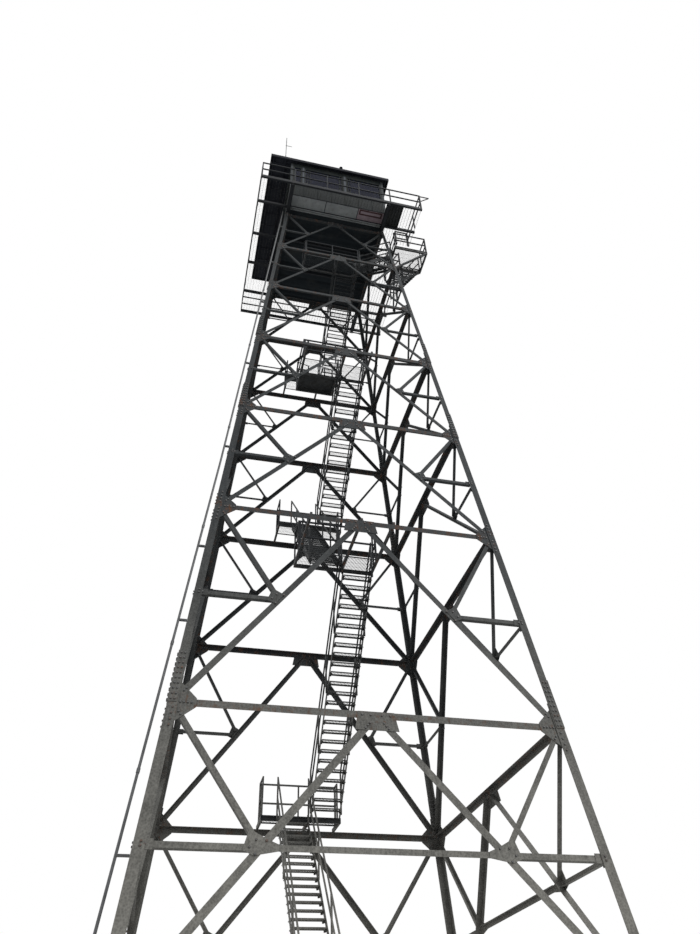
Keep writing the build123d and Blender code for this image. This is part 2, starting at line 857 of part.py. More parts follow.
def slat_row(start, end, ranges):
    """Boxes of slats side by side from one place to another along X, over ranges along Y."""
    count = round((end - start + slat_gap) / slat_pitch)
    pitch = (end - start + slat_gap) / count
    slats = []
    for number in range(count):
        left = start + number * pitch
        for front, back in ranges:
            slats.append(box_of((left, front, deck_low), (left + pitch - slat_gap, back, walk_level)))
    return slats


with BuildPart() as catwalk:
    add([box_of((deck_left, edge, deck_low), (deck_right, edge + walk_rail, walk_level))
         for edge in (deck_front, deck_back - walk_rail)])
    bars_front, bars_back = deck_front + walk_rail + joint_gap, deck_back - walk_rail - joint_gap
    whole = [(bars_front, bars_back)]
    add(slat_row(deck_left, -cab_half - slat_gap, whole))
    add(slat_row(-cab_half, cab_half, [(bars_front, cab_front), (cab_back, bars_back)]))
    add(slat_row(cab_half + slat_gap, well_edge, whole))
    add(slat_row(well_edge + slat_gap, deck_right,
                 [(bars_front, platform_back), (stair_head_front, bars_back)]))
    add(slat_row(deck_right + slat_gap, head_lane[1], [(stair_head_front, stair_head_back)]))
finish(catwalk, "catwalk_slats")

# Solid plate laid on the grating at the catwalk's near right corner
with BuildPart() as corner_plate:
    add(box_of((cab_half, bars_front, walk_level),
               (cab_half + corner_plate_width, joist_places[1], walk_level + corner_plate_gauge)))
finish(corner_plate, "catwalk_corner_plate")

# Cab floor and walls
floor_top = deck_low + cab_floor_thickness
with BuildPart() as cab_floor:
    add(box_of((-cab_half, cab_front, deck_low), (cab_half, cab_back, floor_top)))
finish(cab_floor, "cab_floor")

roof_slope = atan2(roof_under_back - roof_under_front, roof_back - roof_front)
roof_plane = Plane(origin=(0, roof_front, roof_under_front), x_dir=(1, 0, 0),
                   z_dir=(0, -sin(roof_slope), cos(roof_slope)))
wall_low, wall_over = floor_top, roof_under_front + wall_thickness
sill = floor_top + sill_height
head = sill + window_height


def spans_between(middles, width):
    """Clear spans between members of a width, from the list of their middles."""
    return [(a + width / 2, b - width / 2) for a, b in zip(middles, middles[1:])]


inner_front, inner_back = cab_front + wall_thickness, cab_back - wall_thickness
side_pitch = (inner_back - inner_front - mullion_width) / side_windows
side_mullions = [inner_front + mullion_width / 2 + side_pitch * number
                 for number in range(side_windows + 1)]
front_spans = spans_between(front_mullions, mullion_width)
side_spans = spans_between(side_mullions, mullion_width)
door_span = (door_middle - door_width / 2, door_middle + door_width / 2)
right_spans = side_spans[:1] + [(side_spans[1][0], door_span[0] - mullion_width),
                                (door_span[1] + mullion_width, side_spans[-1][1])]
door_low, door_top = floor_top, floor_top + door_height


def wall(low, high, holes, name):
    """Write one wall: a slab cut to the roof's slope, with its holes cut through."""
    with BuildPart() as slab:
        add(box_of(low, high))
        split(bisect_by=roof_plane, keep=Keep.BOTTOM)
        for hole in holes:
            add(hole, mode=Mode.SUBTRACT)
    finish(slab, name)


def front_holes(place):
    """Window holes through a wall across the cab, with the wall's outer face at a place."""
    return [box_of((low, place - wall_thickness, sill), (high, place + wall_thickness, head))
            for low, high in front_spans]


def side_holes(place, spans):
    """Window holes through a wall along the cab, with the wall's outer face at a place."""
    return [box_of((place - wall_thickness, low, sill), (place + wall_thickness, high, head))
            for low, high in spans]


wall((-cab_half, cab_front, wall_low), (cab_half, inner_front, wall_over), front_holes(cab_front),
     "front_wall")
wall((-cab_half, inner_back, wall_low), (cab_half, cab_back, wall_over), front_holes(cab_back),
     "back_wall")
wall((-cab_half, inner_front, wall_low), (wall_thickness - cab_half, inner_back, wall_over),
     side_holes(-cab_half, side_spans), "left_wall")
door_hole = box_of((cab_half - wall_thickness, door_span[0], door_low),
                   (cab_half, door_span[1], door_top))
wall((cab_half - wall_thickness, inner_front, wall_low), (cab_half, inner_back, wall_over),
     side_holes(cab_half, right_spans) + [door_hole], "right_wall")

with BuildPart() as door:
    door_outer = cab_half - (wall_thickness - door_thickness) / 2
    add(box_of((door_outer - door_thickness, door_span[0], door_low),
               (door_outer, door_span[1], door_top)))
finish(door, "cab_door")

# Glass stands in the middle of each wall's thickness
with BuildPart() as panes:
    for middle in (cab_front + wall_thickness / 2, cab_back - wall_thickness / 2):
        near, far = middle - glass_thickness / 2, middle + glass_thickness / 2
        add([box_of((low, near, sill), (high, far, head)) for low, high in front_spans])
    pane_place = cab_half - wall_thickness / 2
    for middle, spans in ((-pane_place, side_spans), (pane_place, right_spans)):
        near, far = middle - glass_thickness / 2, middle + glass_thickness / 2
        add([box_of((near, low, sill), (far, high, head)) for low, high in spans])
finish(panes, "window_panes")

# Roof and its edge boards
roof_length = hypot(roof_back - roof_front, roof_under_back - roof_under_front)
with BuildPart() as roof:
    with BuildSketch(roof_plane):
        with BuildLine():
            Polyline((roof_left + fascia_gauge, fascia_gauge), (roof_right - fascia_gauge, fascia_gauge),
                     (roof_right - fascia_gauge, roof_length - fascia_gauge),
                     (roof_left + fascia_gauge, roof_length - fascia_gauge), close=True)
        make_face()
    extrude(amount=roof_thickness)
finish(roof, "roof")

with BuildPart() as fascia:
    with BuildSketch(roof_plane.offset(roof_thickness - fascia_height)):
        for x in (roof_left, roof_right - fascia_gauge):
            with Locations((x, 0)):
                Rectangle(fascia_gauge, roof_length, align=(Align.MIN, Align.MIN))
        start = roof_left + fascia_gauge + fascia_joint
        for y in (0, roof_length - fascia_gauge):
            with Locations((start, y)):
                Rectangle(roof_right - roof_left - 2 * (fascia_gauge + fascia_joint), fascia_gauge,
                          align=(Align.MIN, Align.MIN))
    extrude(amount=fascia_height)
finish(fascia, "roof_edge_boards")


# Catwalk railing, one piece for each side
def walk_guard(name, *paths):
    """Write one side's railing, made along its paths on the catwalk."""
    with BuildPart() as railing:
        for path in paths:
            add(guard(path, walk_level, walk_rail_height, walk_rail, walk_post_spacing))
    finish(railing, name)


edge = walk_rail / 2
rail_left, rail_right = deck_left + edge, deck_right - edge
rail_front, rail_back = deck_front + edge, deck_back - edge
well_left, well_right = well_edge - edge, head_lane[1] - edge
clear = walk_rail + joint_gap
walk_guard("front_railing", [(rail_left, rail_front), (rail_right, rail_front)])
walk_guard("back_railing", [(rail_left, rail_back), (rail_right, rail_back)])
walk_guard("left_railing", [(rail_left, rail_front + clear), (rail_left, rail_back - clear)])
walk_guard("right_railing",
           [(rail_right, rail_front + clear), (rail_right, platform_back - edge),
            (well_left, platform_back - edge), (well_left, stair_head_front - edge)],
           [(well_right, stair_head_front + edge), (well_right, stair_head_back - edge),
            (rail_right, stair_head_back - edge), (rail_right, rail_back - clear)])


def roof_top(y):
    """Height of the roof's upper side at a place along Y."""
    along = (y - roof_front) / cos(roof_slope)
    return roof_plane.from_local_coords(Vector(0, along, roof_thickness)).Z


# Whip mast with a short cross arm, on a foot plate near the roof's front left corner
mast_base = roof_top(mast_place[1] + mast_foot / 2) - mast_foot_gauge
with BuildPart() as mast:
    with BuildSketch(Plane.XY.offset(mast_base)):
        with Locations(mast_place):
            Rectangle(mast_foot, mast_foot)
    extrude(amount=3 * mast_foot_gauge)
    with BuildSketch(Plane.XY.offset(mast_base)):
        with Locations(mast_place):
            RegularPolygon(mast_radius, round_sides)
    extrude(amount=mast_top - mast_base)
    with BuildSketch(Plane.YZ.offset(mast_place[0])):
        with Locations((mast_place[1], mast_arm_height)):
            RegularPolygon(mast_arm_radius, round_sides)
    extrude(amount=mast_arm)
    split(bisect_by=roof_plane.offset(roof_thickness), keep=Keep.TOP)
finish(mast, "roof_mast")

with BuildPart() as vent:
    vent_base = roof_top(vent_place[1]) - vent_radius
    with BuildSketch(Plane.XY.offset(vent_base)):
        with Locations(vent_place):
            RegularPolygon(vent_radius, vent_sides)
    extrude(amount=vent_height)
    with BuildSketch(Plane.XY.offset(vent_base + vent_height)):
        with Locations(vent_place):
            RegularPolygon(vent_cap_radius, vent_sides)
    extrude(amount=vent_cap_height)
    split(bisect_by=roof_plane.offset(roof_thickness), keep=Keep.TOP)
finish(vent, "roof_vent")

# Small bracket arm that stands out from the near right corner of the catwalk railing
arm_top = walk_level + walk_rail_height - walk_rail
with BuildPart() as outrigger:
    with BuildSketch(Plane.XZ.offset(-rail_front - outrigger_bar / 2)):
        with BuildLine():
            Polyline((deck_right, arm_top), (deck_right, arm_top - outrigger_bar),
                     (deck_right + outrigger_reach - outrigger_bar, arm_top - outrigger_bar),
                     (deck_right, arm_top - outrigger_reach),
                     (deck_right, arm_top - outrigger_reach - outrigger_bar),
                     (deck_right + outrigger_reach, arm_top - outrigger_bar),
                     (deck_right + outrigger_reach, arm_top), close=True)
        make_face()
    extrude(amount=outrigger_bar)
finish(outrigger, "railing_bracket")


def conduit_place(height):
    """Middle of the conduit at a height: beside the near left leg, and closer to it higher up."""
    closing = min(1, (height - pier_height) / (conduit_bend_height - pier_height))
    offset = conduit_offset_base + (conduit_offset_top - conduit_offset_base) * closing
    return Vector(-half_width(height) - offset, -half_width(height) + conduit_radius, height)


conduit_top = beam_low
with BuildPart() as conduit:
    with BuildLine() as route:
        Polyline(*[conduit_place(height)
                   for height in (pier_height - conduit_radius, conduit_bend_height, conduit_top)])
    with BuildSketch(Plane(origin=route.line @ 0, z_dir=route.line % 0)):
        RegularPolygon(conduit_radius, round_sides)
    sweep(transition=Transition.RIGHT)
    split(bisect_by=Plane.XY.offset(pier_height), keep=Keep.TOP)
finish(conduit, "conduit")

with BuildPart() as clamps:
    for height in clamp_heights:
        spot = conduit_place(height)
        leg_edge = -half_width(height)
        add(box_of((spot.X, spot.Y - conduit_radius, height),
                   (leg_edge, spot.Y + conduit_radius, height + clamp_width)))
    add(conduit.part, mode=Mode.SUBTRACT)
finish(clamps, "conduit_clamps")
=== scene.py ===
# %% [markdown]
# A fire lookout tower: a lattice of galvanised angle iron, about 31 m up to the floor of its cab.
# The construction comes finished, as a fixed frame of named nodes. This file gives every node a
# weathered finish and adds the small parts: bolts, gratings, wire mesh, window frames, wall sheets,
# roof seams and the sheets under the floor. All lengths are in metres, with +Z up, and the front
# side faces -Y.

import json
from contextlib import contextmanager
from math import atan, cos, pi, radians, sin

import bmesh
import bpy
from mathutils import Matrix, Vector


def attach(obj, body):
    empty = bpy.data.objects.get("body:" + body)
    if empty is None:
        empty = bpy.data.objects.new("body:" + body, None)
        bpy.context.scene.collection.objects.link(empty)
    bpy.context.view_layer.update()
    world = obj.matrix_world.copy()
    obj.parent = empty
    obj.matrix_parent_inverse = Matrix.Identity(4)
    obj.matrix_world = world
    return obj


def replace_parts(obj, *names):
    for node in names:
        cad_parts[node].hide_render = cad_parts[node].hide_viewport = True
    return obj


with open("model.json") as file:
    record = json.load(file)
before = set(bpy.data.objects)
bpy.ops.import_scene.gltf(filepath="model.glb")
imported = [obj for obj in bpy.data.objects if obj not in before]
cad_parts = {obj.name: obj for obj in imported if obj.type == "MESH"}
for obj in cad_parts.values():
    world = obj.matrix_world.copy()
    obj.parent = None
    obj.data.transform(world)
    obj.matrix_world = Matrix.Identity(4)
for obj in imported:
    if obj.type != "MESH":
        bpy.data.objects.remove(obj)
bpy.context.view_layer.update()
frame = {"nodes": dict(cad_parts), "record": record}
nodes = frame["nodes"]

# %% [markdown]
# The photograph was taken from low down near the tower, with the camera tipped far back. A camera
# can be aimed by a constraint, but here its heading, its tilt and its small roll are known, so the
# three turns are simply multiplied in that order.

# %% Camera
camera_place = (-4.12, -18.23, 0.81)
camera_turns = [(-15.07, "Z"), (90 + 41.9, "X"), (-2.38, "Z")]

camera_data = bpy.data.cameras.new("photo_camera")
camera_data.lens = 28.16
camera_data.clip_end = 2000
camera = bpy.data.objects.new("photo_camera", camera_data)
bpy.context.scene.collection.objects.link(camera)
stand = Matrix.Translation(camera_place)
for degrees, axis in camera_turns:
    stand = stand @ Matrix.Rotation(radians(degrees), 4, axis)
camera.matrix_world = stand
bpy.context.scene.camera = camera
bpy.context.scene.view_settings.view_transform = "Standard"
print("camera:", camera_place, "lens", camera_data.lens)

# %% [markdown]
# The tower stands on a plain pale floor under plain soft light. An area lamp would have to be huge
# for something this tall, so two sun lamps with a wide angle give soft shadows, and the world fills
# in the rest. The world is brighter to the eye, to gloss and through glass than it is as a lamp,
# which the Light Path node can tell apart.

# %% Floor, world and lamps
floor_radius = 400
background_light = 0.55
lamp_softness = radians(25)
lamps = [("key_sun", 1.7, 48, 35), ("fill_sun", 0.5, 30, -60)]

bpy.ops.object.select_all(action="DESELECT")
bpy.ops.mesh.primitive_circle_add(vertices=96, radius=floor_radius, fill_type="NGON",
                                  location=(0, 0, -0.002))
floor = bpy.context.object
floor.name = "studio_floor"

world = bpy.data.worlds.new("soft_studio")
bpy.context.scene.world = world
world.use_nodes = True
sky = world.node_tree
background = sky.nodes["Background"]
background.inputs["Color"].default_value = (1, 1, 1, 1)
ray = sky.nodes.new("ShaderNodeLightPath")
seen = ray.outputs["Is Camera Ray"]
for kind in ("Is Glossy Ray", "Is Transmission Ray"):
    either = sky.nodes.new("ShaderNodeMath")
    either.operation = "MAXIMUM"
    sky.links.new(seen, either.inputs[0])
    sky.links.new(ray.outputs[kind], either.inputs[1])
    seen = either.outputs[0]
strength = sky.nodes.new("ShaderNodeMapRange")
strength.inputs["To Min"].default_value = background_light
sky.links.new(seen, strength.inputs["Value"])
sky.links.new(strength.outputs["Result"], background.inputs["Strength"])

for name, power, height, heading in lamps:
    data = bpy.data.lights.new(name, "SUN")
    data.energy = power
    data.angle = lamp_softness
    lamp = bpy.data.objects.new(name, data)
    lamp.rotation_euler = (radians(90 - height), 0, radians(heading))
    bpy.context.scene.collection.objects.link(lamp)
print("lamps:", len(lamps), "world:", background_light)

# %% [markdown]
# Finishes are built from nodes. Linking dozens of Math nodes by hand is hard to read, so a small
# class stands for one output of a node: adding or multiplying such wires adds the Math node. Any
# other node comes from one method, which sets the node's own settings first and its inputs after.


# %% Shader tools
class Wire:
    """One output of a shader node. Arithmetic on it adds Math nodes."""

    def __init__(self, finish, socket):
        self.finish, self.socket = finish, socket

    def math(self, operation, *others):
        """Add a Math node of this wire and other values."""
        return self.finish.node("Math", {"operation": operation}, dict(enumerate((self, *others))))

    def __add__(self, other):
        return self.math("ADD", other)

    def __sub__(self, other):
        return self.math("SUBTRACT", other)

    def __rsub__(self, other):
        return self.math("MULTIPLY_ADD", -1, other)

    def __mul__(self, other):
        return self.math("MULTIPLY", other)

    def __truediv__(self, other):
        return self.math("DIVIDE", other)

    __radd__, __rmul__ = __add__, __mul__

    def step(self, low, high):
        """Smooth step from 0 at one value to 1 at another."""
        values = {"Value": self, "From Min": low, "From Max": high}
        return self.finish.node("MapRange", {"interpolation_type": "SMOOTHSTEP"}, values)


class Finish:
    """A material made of nodes, with a Principled shader at its end."""

    def __init__(self, name):
        self.material = bpy.data.materials.new(name)
        self.material.use_nodes = True
        self.tree = self.material.node_tree
        self.place = self.node("TexCoord", {}, {}, "Object")

    def put(self, socket, value):
        """Link a wire to an input, or give it a value. A colour is written without its alpha."""
        if isinstance(value, Wire):
            self.tree.links.new(value.socket, socket)
        else:
            socket.default_value = (*value, 1) if socket.type == "RGBA" else value

    def node(self, kind, settings, values, output=0):
        """Add a node of a kind, with its settings and then its inputs, and return one output."""
        made = self.tree.nodes.new("ShaderNode" + kind)
        for key, value in settings.items():
            setattr(made, key, value)
        for key, value in values.items():
            self.put(made.inputs[key], value)
        return Wire(self, made.outputs[output])

    def axis(self, name, of=None):
        """One axis of the place on the object, or of another vector."""
        return self.node("SeparateXYZ", {}, {"Vector": of or self.place}, name)

    def noise(self, scale, detail=4, roughness=0.55, stretch=None):
        """Cloudy noise between 0 and 1, over the place, which can be scaled along each axis."""
        place = self.place
        if stretch:
            place = self.node("Mapping", {}, {"Vector": place, "Scale": stretch})
        values = {"Vector": place, "Scale": scale, "Detail": detail, "Roughness": roughness}
        return self.node("TexNoise", {}, values, "Fac")

    def cells(self, scale):
        """Distance from the middles of scattered cells."""
        return self.node("TexVoronoi", {}, {"Vector": self.place, "Scale": scale}, "Distance")

    def mix(self, share, first, second):
        """Colour between two colours."""
        return self.node("Mix", {"data_type": "RGBA"}, {0: share, 6: first, 7: second}, 2)

    def bump(self, height, depth):
        """Normal of a surface with a height in metres times a depth."""
        return self.node("Bump", {}, {"Height": height, "Distance": depth}, "Normal")

    def wear(self, **values):
        """Set the Principled shader's inputs, with spaces written as underscores."""
        for key, value in values.items():
            self.put(self.tree.nodes["Principled BSDF"].inputs[key.replace("_", " ")], value)
        return self.material


print("shader tools ready")

# %% [markdown]
# Galvanised steel is coated with zinc, whose crystals show as pale and dark patches. Outdoors it
# goes dull and grey, dirt runs down it in streaks, and rust starts where bars are bolted together.
# Above about 13 m the bars are coloured nearly black as painted shade, and the lower ones are paler.
# A flat grey would look like plastic, so the colour is mixed from large clouds, small crystals,
# streaks that are stretched along Z, and rust that gathers near each level of joints.

# %% Weathered steel
joint_heights = [1.8, 7.04, 12.4, 16.51, 20.3, 23.75, 26.94, 29.95]
rust_brown, rust_orange = (0.075, 0.036, 0.022), (0.14, 0.066, 0.034)
lower_dark, lower_pale = (0.085, 0.083, 0.076), (0.23, 0.225, 0.205)


def rust_near_joints(finish, reach):
    """Mask of rust that gathers round each level of joints."""
    height = finish.axis("Z")
    return sum((height - level).math("ABSOLUTE").step(reach, 0.04) for level in joint_heights)


def steel(name, pale, dark, rust, wear):
    """Weathered zinc-coated steel between two greys, with a share of rust and of dull wear. The two greys
    passed in are painted shade for the bars from 13 m up; towards the ground they fade into paler greys.
    """
    finish = Finish(name)
    clouds = finish.noise(0.9, 5, 0.6)
    crystals = finish.cells(26)
    streaks = finish.noise(1, 4, 0.6, (16, 16, 0.7))
    tone = (clouds * 0.5 + streaks * 0.35 + crystals * 0.25).step(0.28, 0.8)
    below = finish.mix(tone, lower_dark, lower_pale)
    # Painted shade: the dark greys passed in colour the bars from 13 m up; towards the ground they fade into
    # the paler lower greys.
    zinc = finish.mix(finish.axis("Z").step(13, 1), finish.mix(tone, dark, pale), below)
    grime = (finish.noise(3.2, 6, 0.7) * 0.6 + streaks * 0.5).step(0.56, 0.76)
    dirty = finish.mix(grime * 0.6, zinc, (0.018, 0.017, 0.015))
    patches = finish.noise(5.5, 6, 0.68) * 0.62 + streaks * 0.3
    rusty = (patches + rust_near_joints(finish, 0.7) * rust).step(0.63, 0.78)
    brown = finish.mix(finish.noise(30, 3), rust_brown, rust_orange)
    grain = finish.noise(140, 3) * 0.4 + crystals * 0.3 + rusty * finish.noise(70, 4)
    return finish.wear(Base_Color=finish.mix(rusty * 0.8, dirty, brown), Metallic=0.35 - rusty * 0.3,
                       Roughness=clouds * 0.15 + rusty * 0.2 + wear, Specular_IOR_Level=0.1,
                       Normal=finish.bump(grain, 0.0015))


# The greys passed here are painted shade, far darker than the steel's own grey.
tower_steel = steel("weathered_tower_steel_painted_shade", (0.048, 0.052, 0.054), (0.015, 0.017, 0.019), 0.17, 0.55)
stair_steel = steel("dull_stair_steel_painted_shade", (0.045, 0.048, 0.05), (0.015, 0.017, 0.019), 0.07, 0.5)
# Painted shade: the railing greys are darker still, so the railings, guards and catwalk beams read as unlit.
railing_steel = steel("railings_in_painted_shade", (0.022, 0.024, 0.027), (0.008, 0.009, 0.011), 0.05, 0.5)
print("steel:", tower_steel.name, stair_steel.name, railing_steel.name)

# %% [markdown]
# Walkways, landings and treads are trodden bare on the raised pattern that keeps feet from slipping,
# and dirt lies over it in patches. The pattern is too fine to model, so two crossing rows of
# waves, turned by 45 degrees, raise small lozenges in the bump. The conduit is newer matt zinc.

# %% Worn walkway steel, zinc pipe and bolt heads
lozenge_pitch = 0.03


def walkway():
    """Trodden steel plate with small raised lozenges."""
    finish = Finish("trodden_walkway_steel")
    along, across = finish.axis("X"), finish.axis("Y")
    rate = 2 * pi / lozenge_pitch
    waves = ((along + across) * rate).math("SINE") * ((along - across) * rate).math("SINE")
    lozenges = waves.step(0.3, 0.7)
    clouds = finish.noise(2.4, 5, 0.6)
    dirt = (finish.noise(7, 6, 0.65) * 0.7 + clouds * 0.4).step(0.5, 0.7)
    zinc = finish.mix(clouds.step(0.3, 0.7), (0.016, 0.018, 0.02), (0.036, 0.038, 0.039))
    bright = finish.mix(lozenges * (1 - dirt) * 0.6, zinc, (0.075, 0.075, 0.073))
    return finish.wear(Base_Color=finish.mix(dirt * 0.65, bright, (0.014, 0.013, 0.011)),
                       Metallic=0.4 - dirt * 0.3, Roughness=dirt * 0.3 + 0.48, Specular_IOR_Level=0.1,
                       Normal=finish.bump(lozenges + dirt * 0.2, 0.0012))


def plain_zinc():
    """Newer matt zinc of the conduit and the whip mast."""
    finish = Finish("matt_zinc")
    clouds = finish.noise(4)
    tone = (clouds * 0.6 + finish.noise(1, 3, 0.5, (30, 30, 1.2)) * 0.5).step(0.35, 0.75)
    return finish.wear(Base_Color=finish.mix(tone, (0.04, 0.042, 0.044), (0.078, 0.081, 0.084)),
                       Metallic=0.5, Roughness=clouds * 0.2 + 0.38,
                       Normal=finish.bump(finish.noise(90, 2), 0.0006))


def bolt_zinc():
    """Bolt heads, which rust sooner than the bars around them."""
    finish = Finish("rusting_bolts")
    rusty = (finish.noise(2.3, 3, 0.6) * 0.55 + finish.noise(45, 3) * 0.45).step(0.5, 0.64)
    brown = finish.mix(finish.noise(60, 2), rust_brown, rust_orange)
    return finish.wear(Base_Color=finish.mix(rusty * 0.85, (0.075, 0.077, 0.077), brown),
                       Metallic=0.45 - rusty * 0.4, Roughness=rusty * 0.25 + 0.5,
                       Normal=finish.bump(finish.noise(160, 2), 0.001))


walkway_steel, conduit_zinc, bolt_steel = walkway(), plain_zinc(), bolt_zinc()
print("more steel:", walkway_steel.name, conduit_zinc.name, bolt_steel.name)

# %% [markdown]
# The cab's walls are painted sheet. Rain carries dirt down from the window sills, and the paint has
# faded unevenly. The floor is closed from below with painted boards, coloured nearly black as painted
# shade, and the roof is sheet darkened as painted shade, faded by the sun where it looks up.

# %% Cab paint, boards and roofing


def paint(name, base, faded, dirt_share):
    """Old paint on sheet metal: faded in clouds and streaked with dirt from above."""
    finish = Finish(name)
    clouds = finish.noise(1.3, 5, 0.6)
    streaks = finish.noise(1, 5, 0.62, (11, 11, 0.55))
    colour = finish.mix((clouds * 0.6 + streaks * 0.4).step(0.35, 0.7), base, faded)
    dirt = (streaks * 0.7 + finish.noise(6, 6, 0.7) * 0.4).step(0.5, 0.72)
    stained = finish.mix(dirt * dirt_share, colour, (0.035, 0.034, 0.03))
    chips = finish.noise(38, 5, 0.7).step(0.69, 0.73)
    return finish.wear(Base_Color=finish.mix(chips * 0.7, stained, rust_brown), Specular_IOR_Level=0.05,
                       Roughness=clouds * 0.2 + dirt * 0.15 + 0.42,
                       Normal=finish.bump(finish.noise(55) * 0.5 - chips, 0.0012))


def boards(name, base, pale, board_width):
    """Painted boards side by side along X, each with its own tone, grain and dark joints."""
    finish = Finish(name)
    across = finish.axis("Y") / board_width
    values = {"W": across.math("FLOOR") + 0.5}
    tone = finish.node("TexWhiteNoise", {"noise_dimensions": "1D"}, values, "Value")
    grain = finish.noise(1, 6, 0.65, (1.5, 28, 28))
    colour = finish.mix((tone * 0.45 + grain * 0.55).step(0.25, 0.8), base, pale)
    gaps = (1 - across.math("FRACT")).math("PINGPONG", 0.5).step(0.035, 0.012)
    dark = finish.mix(gaps, colour, (0.008, 0.008, 0.008))
    worn = finish.mix(finish.noise(1.1, 5, 0.6).step(0.5, 0.75) * 0.5, dark, (0.03, 0.03, 0.028))
    return finish.wear(Base_Color=worn, Roughness=grain * 0.2 + 0.6, Specular_IOR_Level=0.05,
                       Normal=finish.bump(grain * 0.3 - gaps, 0.003))


def roofing():
    """Roof sheet darkened as painted shade, with dull spots, faded by the sun where it looks up."""
    finish = Finish("roof_sheet_painted_shade")
    clouds = finish.noise(0.8, 5, 0.6)
    spots = finish.noise(14, 5, 0.7).step(0.55, 0.72)
    # Painted shade: both roof tones are near black, darker than the sheet's own colour.
    colour = finish.mix(clouds.step(0.35, 0.7), (0.008, 0.009, 0.013), (0.017, 0.019, 0.025))
    upward = finish.axis("Z", finish.node("NewGeometry", {}, {}, "Normal")).step(0.6, 0.95)
    faded = finish.mix(upward * (clouds * 0.5 + 0.5), colour, (0.055, 0.058, 0.062))
    return finish.wear(Base_Color=finish.mix(spots * 0.3, faded, (0.04, 0.038, 0.036)),
                       Roughness=clouds * 0.2 + spots * 0.1 + 0.5, Specular_IOR_Level=0.05,
                       Normal=finish.bump(finish.noise(25), 0.002))


cab_paint = paint("grey_cab_paint", (0.013, 0.016, 0.017), (0.026, 0.031, 0.032), 0.5)
trim_paint = paint("pale_trim_paint", (0.14, 0.15, 0.155), (0.23, 0.243, 0.248), 0.4)
cover_paint = paint("blue_grey_cover_paint", (0.06, 0.068, 0.08), (0.1, 0.112, 0.13), 0.4)
corner_paint = paint("grey_corner_paint", (0.04, 0.045, 0.05), (0.07, 0.077, 0.083), 0.4)
door_paint = paint("grey_door_paint", (0.03, 0.036, 0.042), (0.056, 0.064, 0.072), 0.4)
red_paint = paint("red_brown_paint", (0.034, 0.017, 0.018), (0.055, 0.028, 0.03), 0.4)
mauve_paint = paint("pinkish_grey_paint", (0.155, 0.123, 0.138), (0.245, 0.2, 0.22), 0.3)
# Painted shade: both board tones are near black, for the shaded underside of the floor.
floor_boards = boards("floor_boards_painted_shade", (0.005, 0.007, 0.009), (0.013, 0.017, 0.02), 0.14)
roof_sheet = roofing()
print("cab finishes ready")

# %% [markdown]
# Window glass seen from below mirrors a bright sky over a dark room. A little of the light passes,
# and the rest is a dark, slightly blue gloss with faint dirt; that near-opaque dark blue is painted
# shade for the dim room behind. The piers are cast concrete: pale, blotchy, pitted, and dark with damp
# and moss near the ground.

# %% Glass and concrete


def glass():
    """Window glass with a film of dirt, coloured a near-opaque dark blue as painted shade for the room
    behind.
    """
    finish = Finish("window_glass_painted_shade")
    film = (finish.noise(3, 5, 0.6) * 0.6 + finish.noise(40, 3) * 0.3).step(0.4, 0.7)
    # Painted shade: the dark blue colour and the high alpha stand in for the shaded room behind the glass.
    colour = finish.mix(film, (0.004, 0.006, 0.018), (0.011, 0.014, 0.032))
    return finish.wear(Base_Color=colour, Roughness=film * 0.12 + 0.06, Alpha=film * 0.1 + 0.84,
                       Specular_IOR_Level=0.05, IOR=1.5, Normal=finish.bump(finish.noise(1.7, 2), 0.004))


def concrete():
    """Cast concrete, damp and mossy near the ground."""
    finish = Finish("cast_concrete")
    blotches = finish.noise(2.2, 6, 0.62)
    sand = finish.noise(120, 4, 0.7)
    tone = (blotches * 0.7 + sand * 0.3).step(0.35, 0.7)
    damp = (finish.axis("Z") * -2.2 + blotches * 0.9).step(0.0, 0.45)
    dry = finish.mix(tone, (0.26, 0.25, 0.225), (0.42, 0.41, 0.375))
    wet = finish.mix(damp * 0.65, dry, (0.075, 0.078, 0.05))
    pits = finish.cells(34).step(0.16, 0.06)
    return finish.wear(Base_Color=finish.mix(pits * 0.4, wet, (0.1, 0.095, 0.085)),
                       Roughness=sand * 0.1 + 0.8,
                       Normal=finish.bump(sand * 0.35 + blotches * 0.4 - pits, 0.004))


window_glass, pier_concrete = glass(), concrete()
floor_finish = Finish("pale_studio_floor").wear(Base_Color=(0.72, 0.72, 0.71), Roughness=0.9)
floor.data.materials.append(floor_finish)
print("glass and concrete ready")

# %% [markdown]
# The finished nodes keep their shapes, and only get new materials in their slots. The record says
# which slot each node belongs to, so one table of slots dresses nearly all of them. Only the railings,
# guards and catwalk beams, which get a still darker grey as painted shade, are picked out by their names.

# %% Dress the nodes
slot_finishes = {"tower_steel": tower_steel, "stair_steel": stair_steel, "walkway_steel": walkway_steel,
                 "conduit_grey": conduit_zinc, "cab_panels": cab_paint, "cab_door": door_paint,
                 "cab_floor": floor_boards, "roofing": roof_sheet, "window_glass": window_glass,
                 "concrete": pier_concrete}
for row in frame["record"]["subparts"]:
    mesh = nodes[row["node"]].data
    mesh.materials.clear()
    # Painted shade: railings, guards, catwalk joists and main beams take the darkest steel.
    darker_painted_shade = any(word in row["node"] for word in ("railing", "guard", "catwalk_joists", "main_beams"))
    mesh.materials.append(railing_steel if darker_painted_shade else slot_finishes[row["material_slot"]])

# %% [markdown]
# The helpers below do what a hand would do in the 3D view: start a block or a bar, go into edit mode,
# pick faces by where they look, and leave edit mode again. Each piece ends with its place in its
# mesh and its object at the origin. The last helper reads the places of a node's separate solids back
# from a merged copy of its mesh.


# %% Modelling helpers
def alone(piece):
    """Select one object and nothing else."""
    bpy.ops.object.select_all(action="DESELECT")
    piece.select_set(True)
    bpy.context.view_layer.objects.active = piece


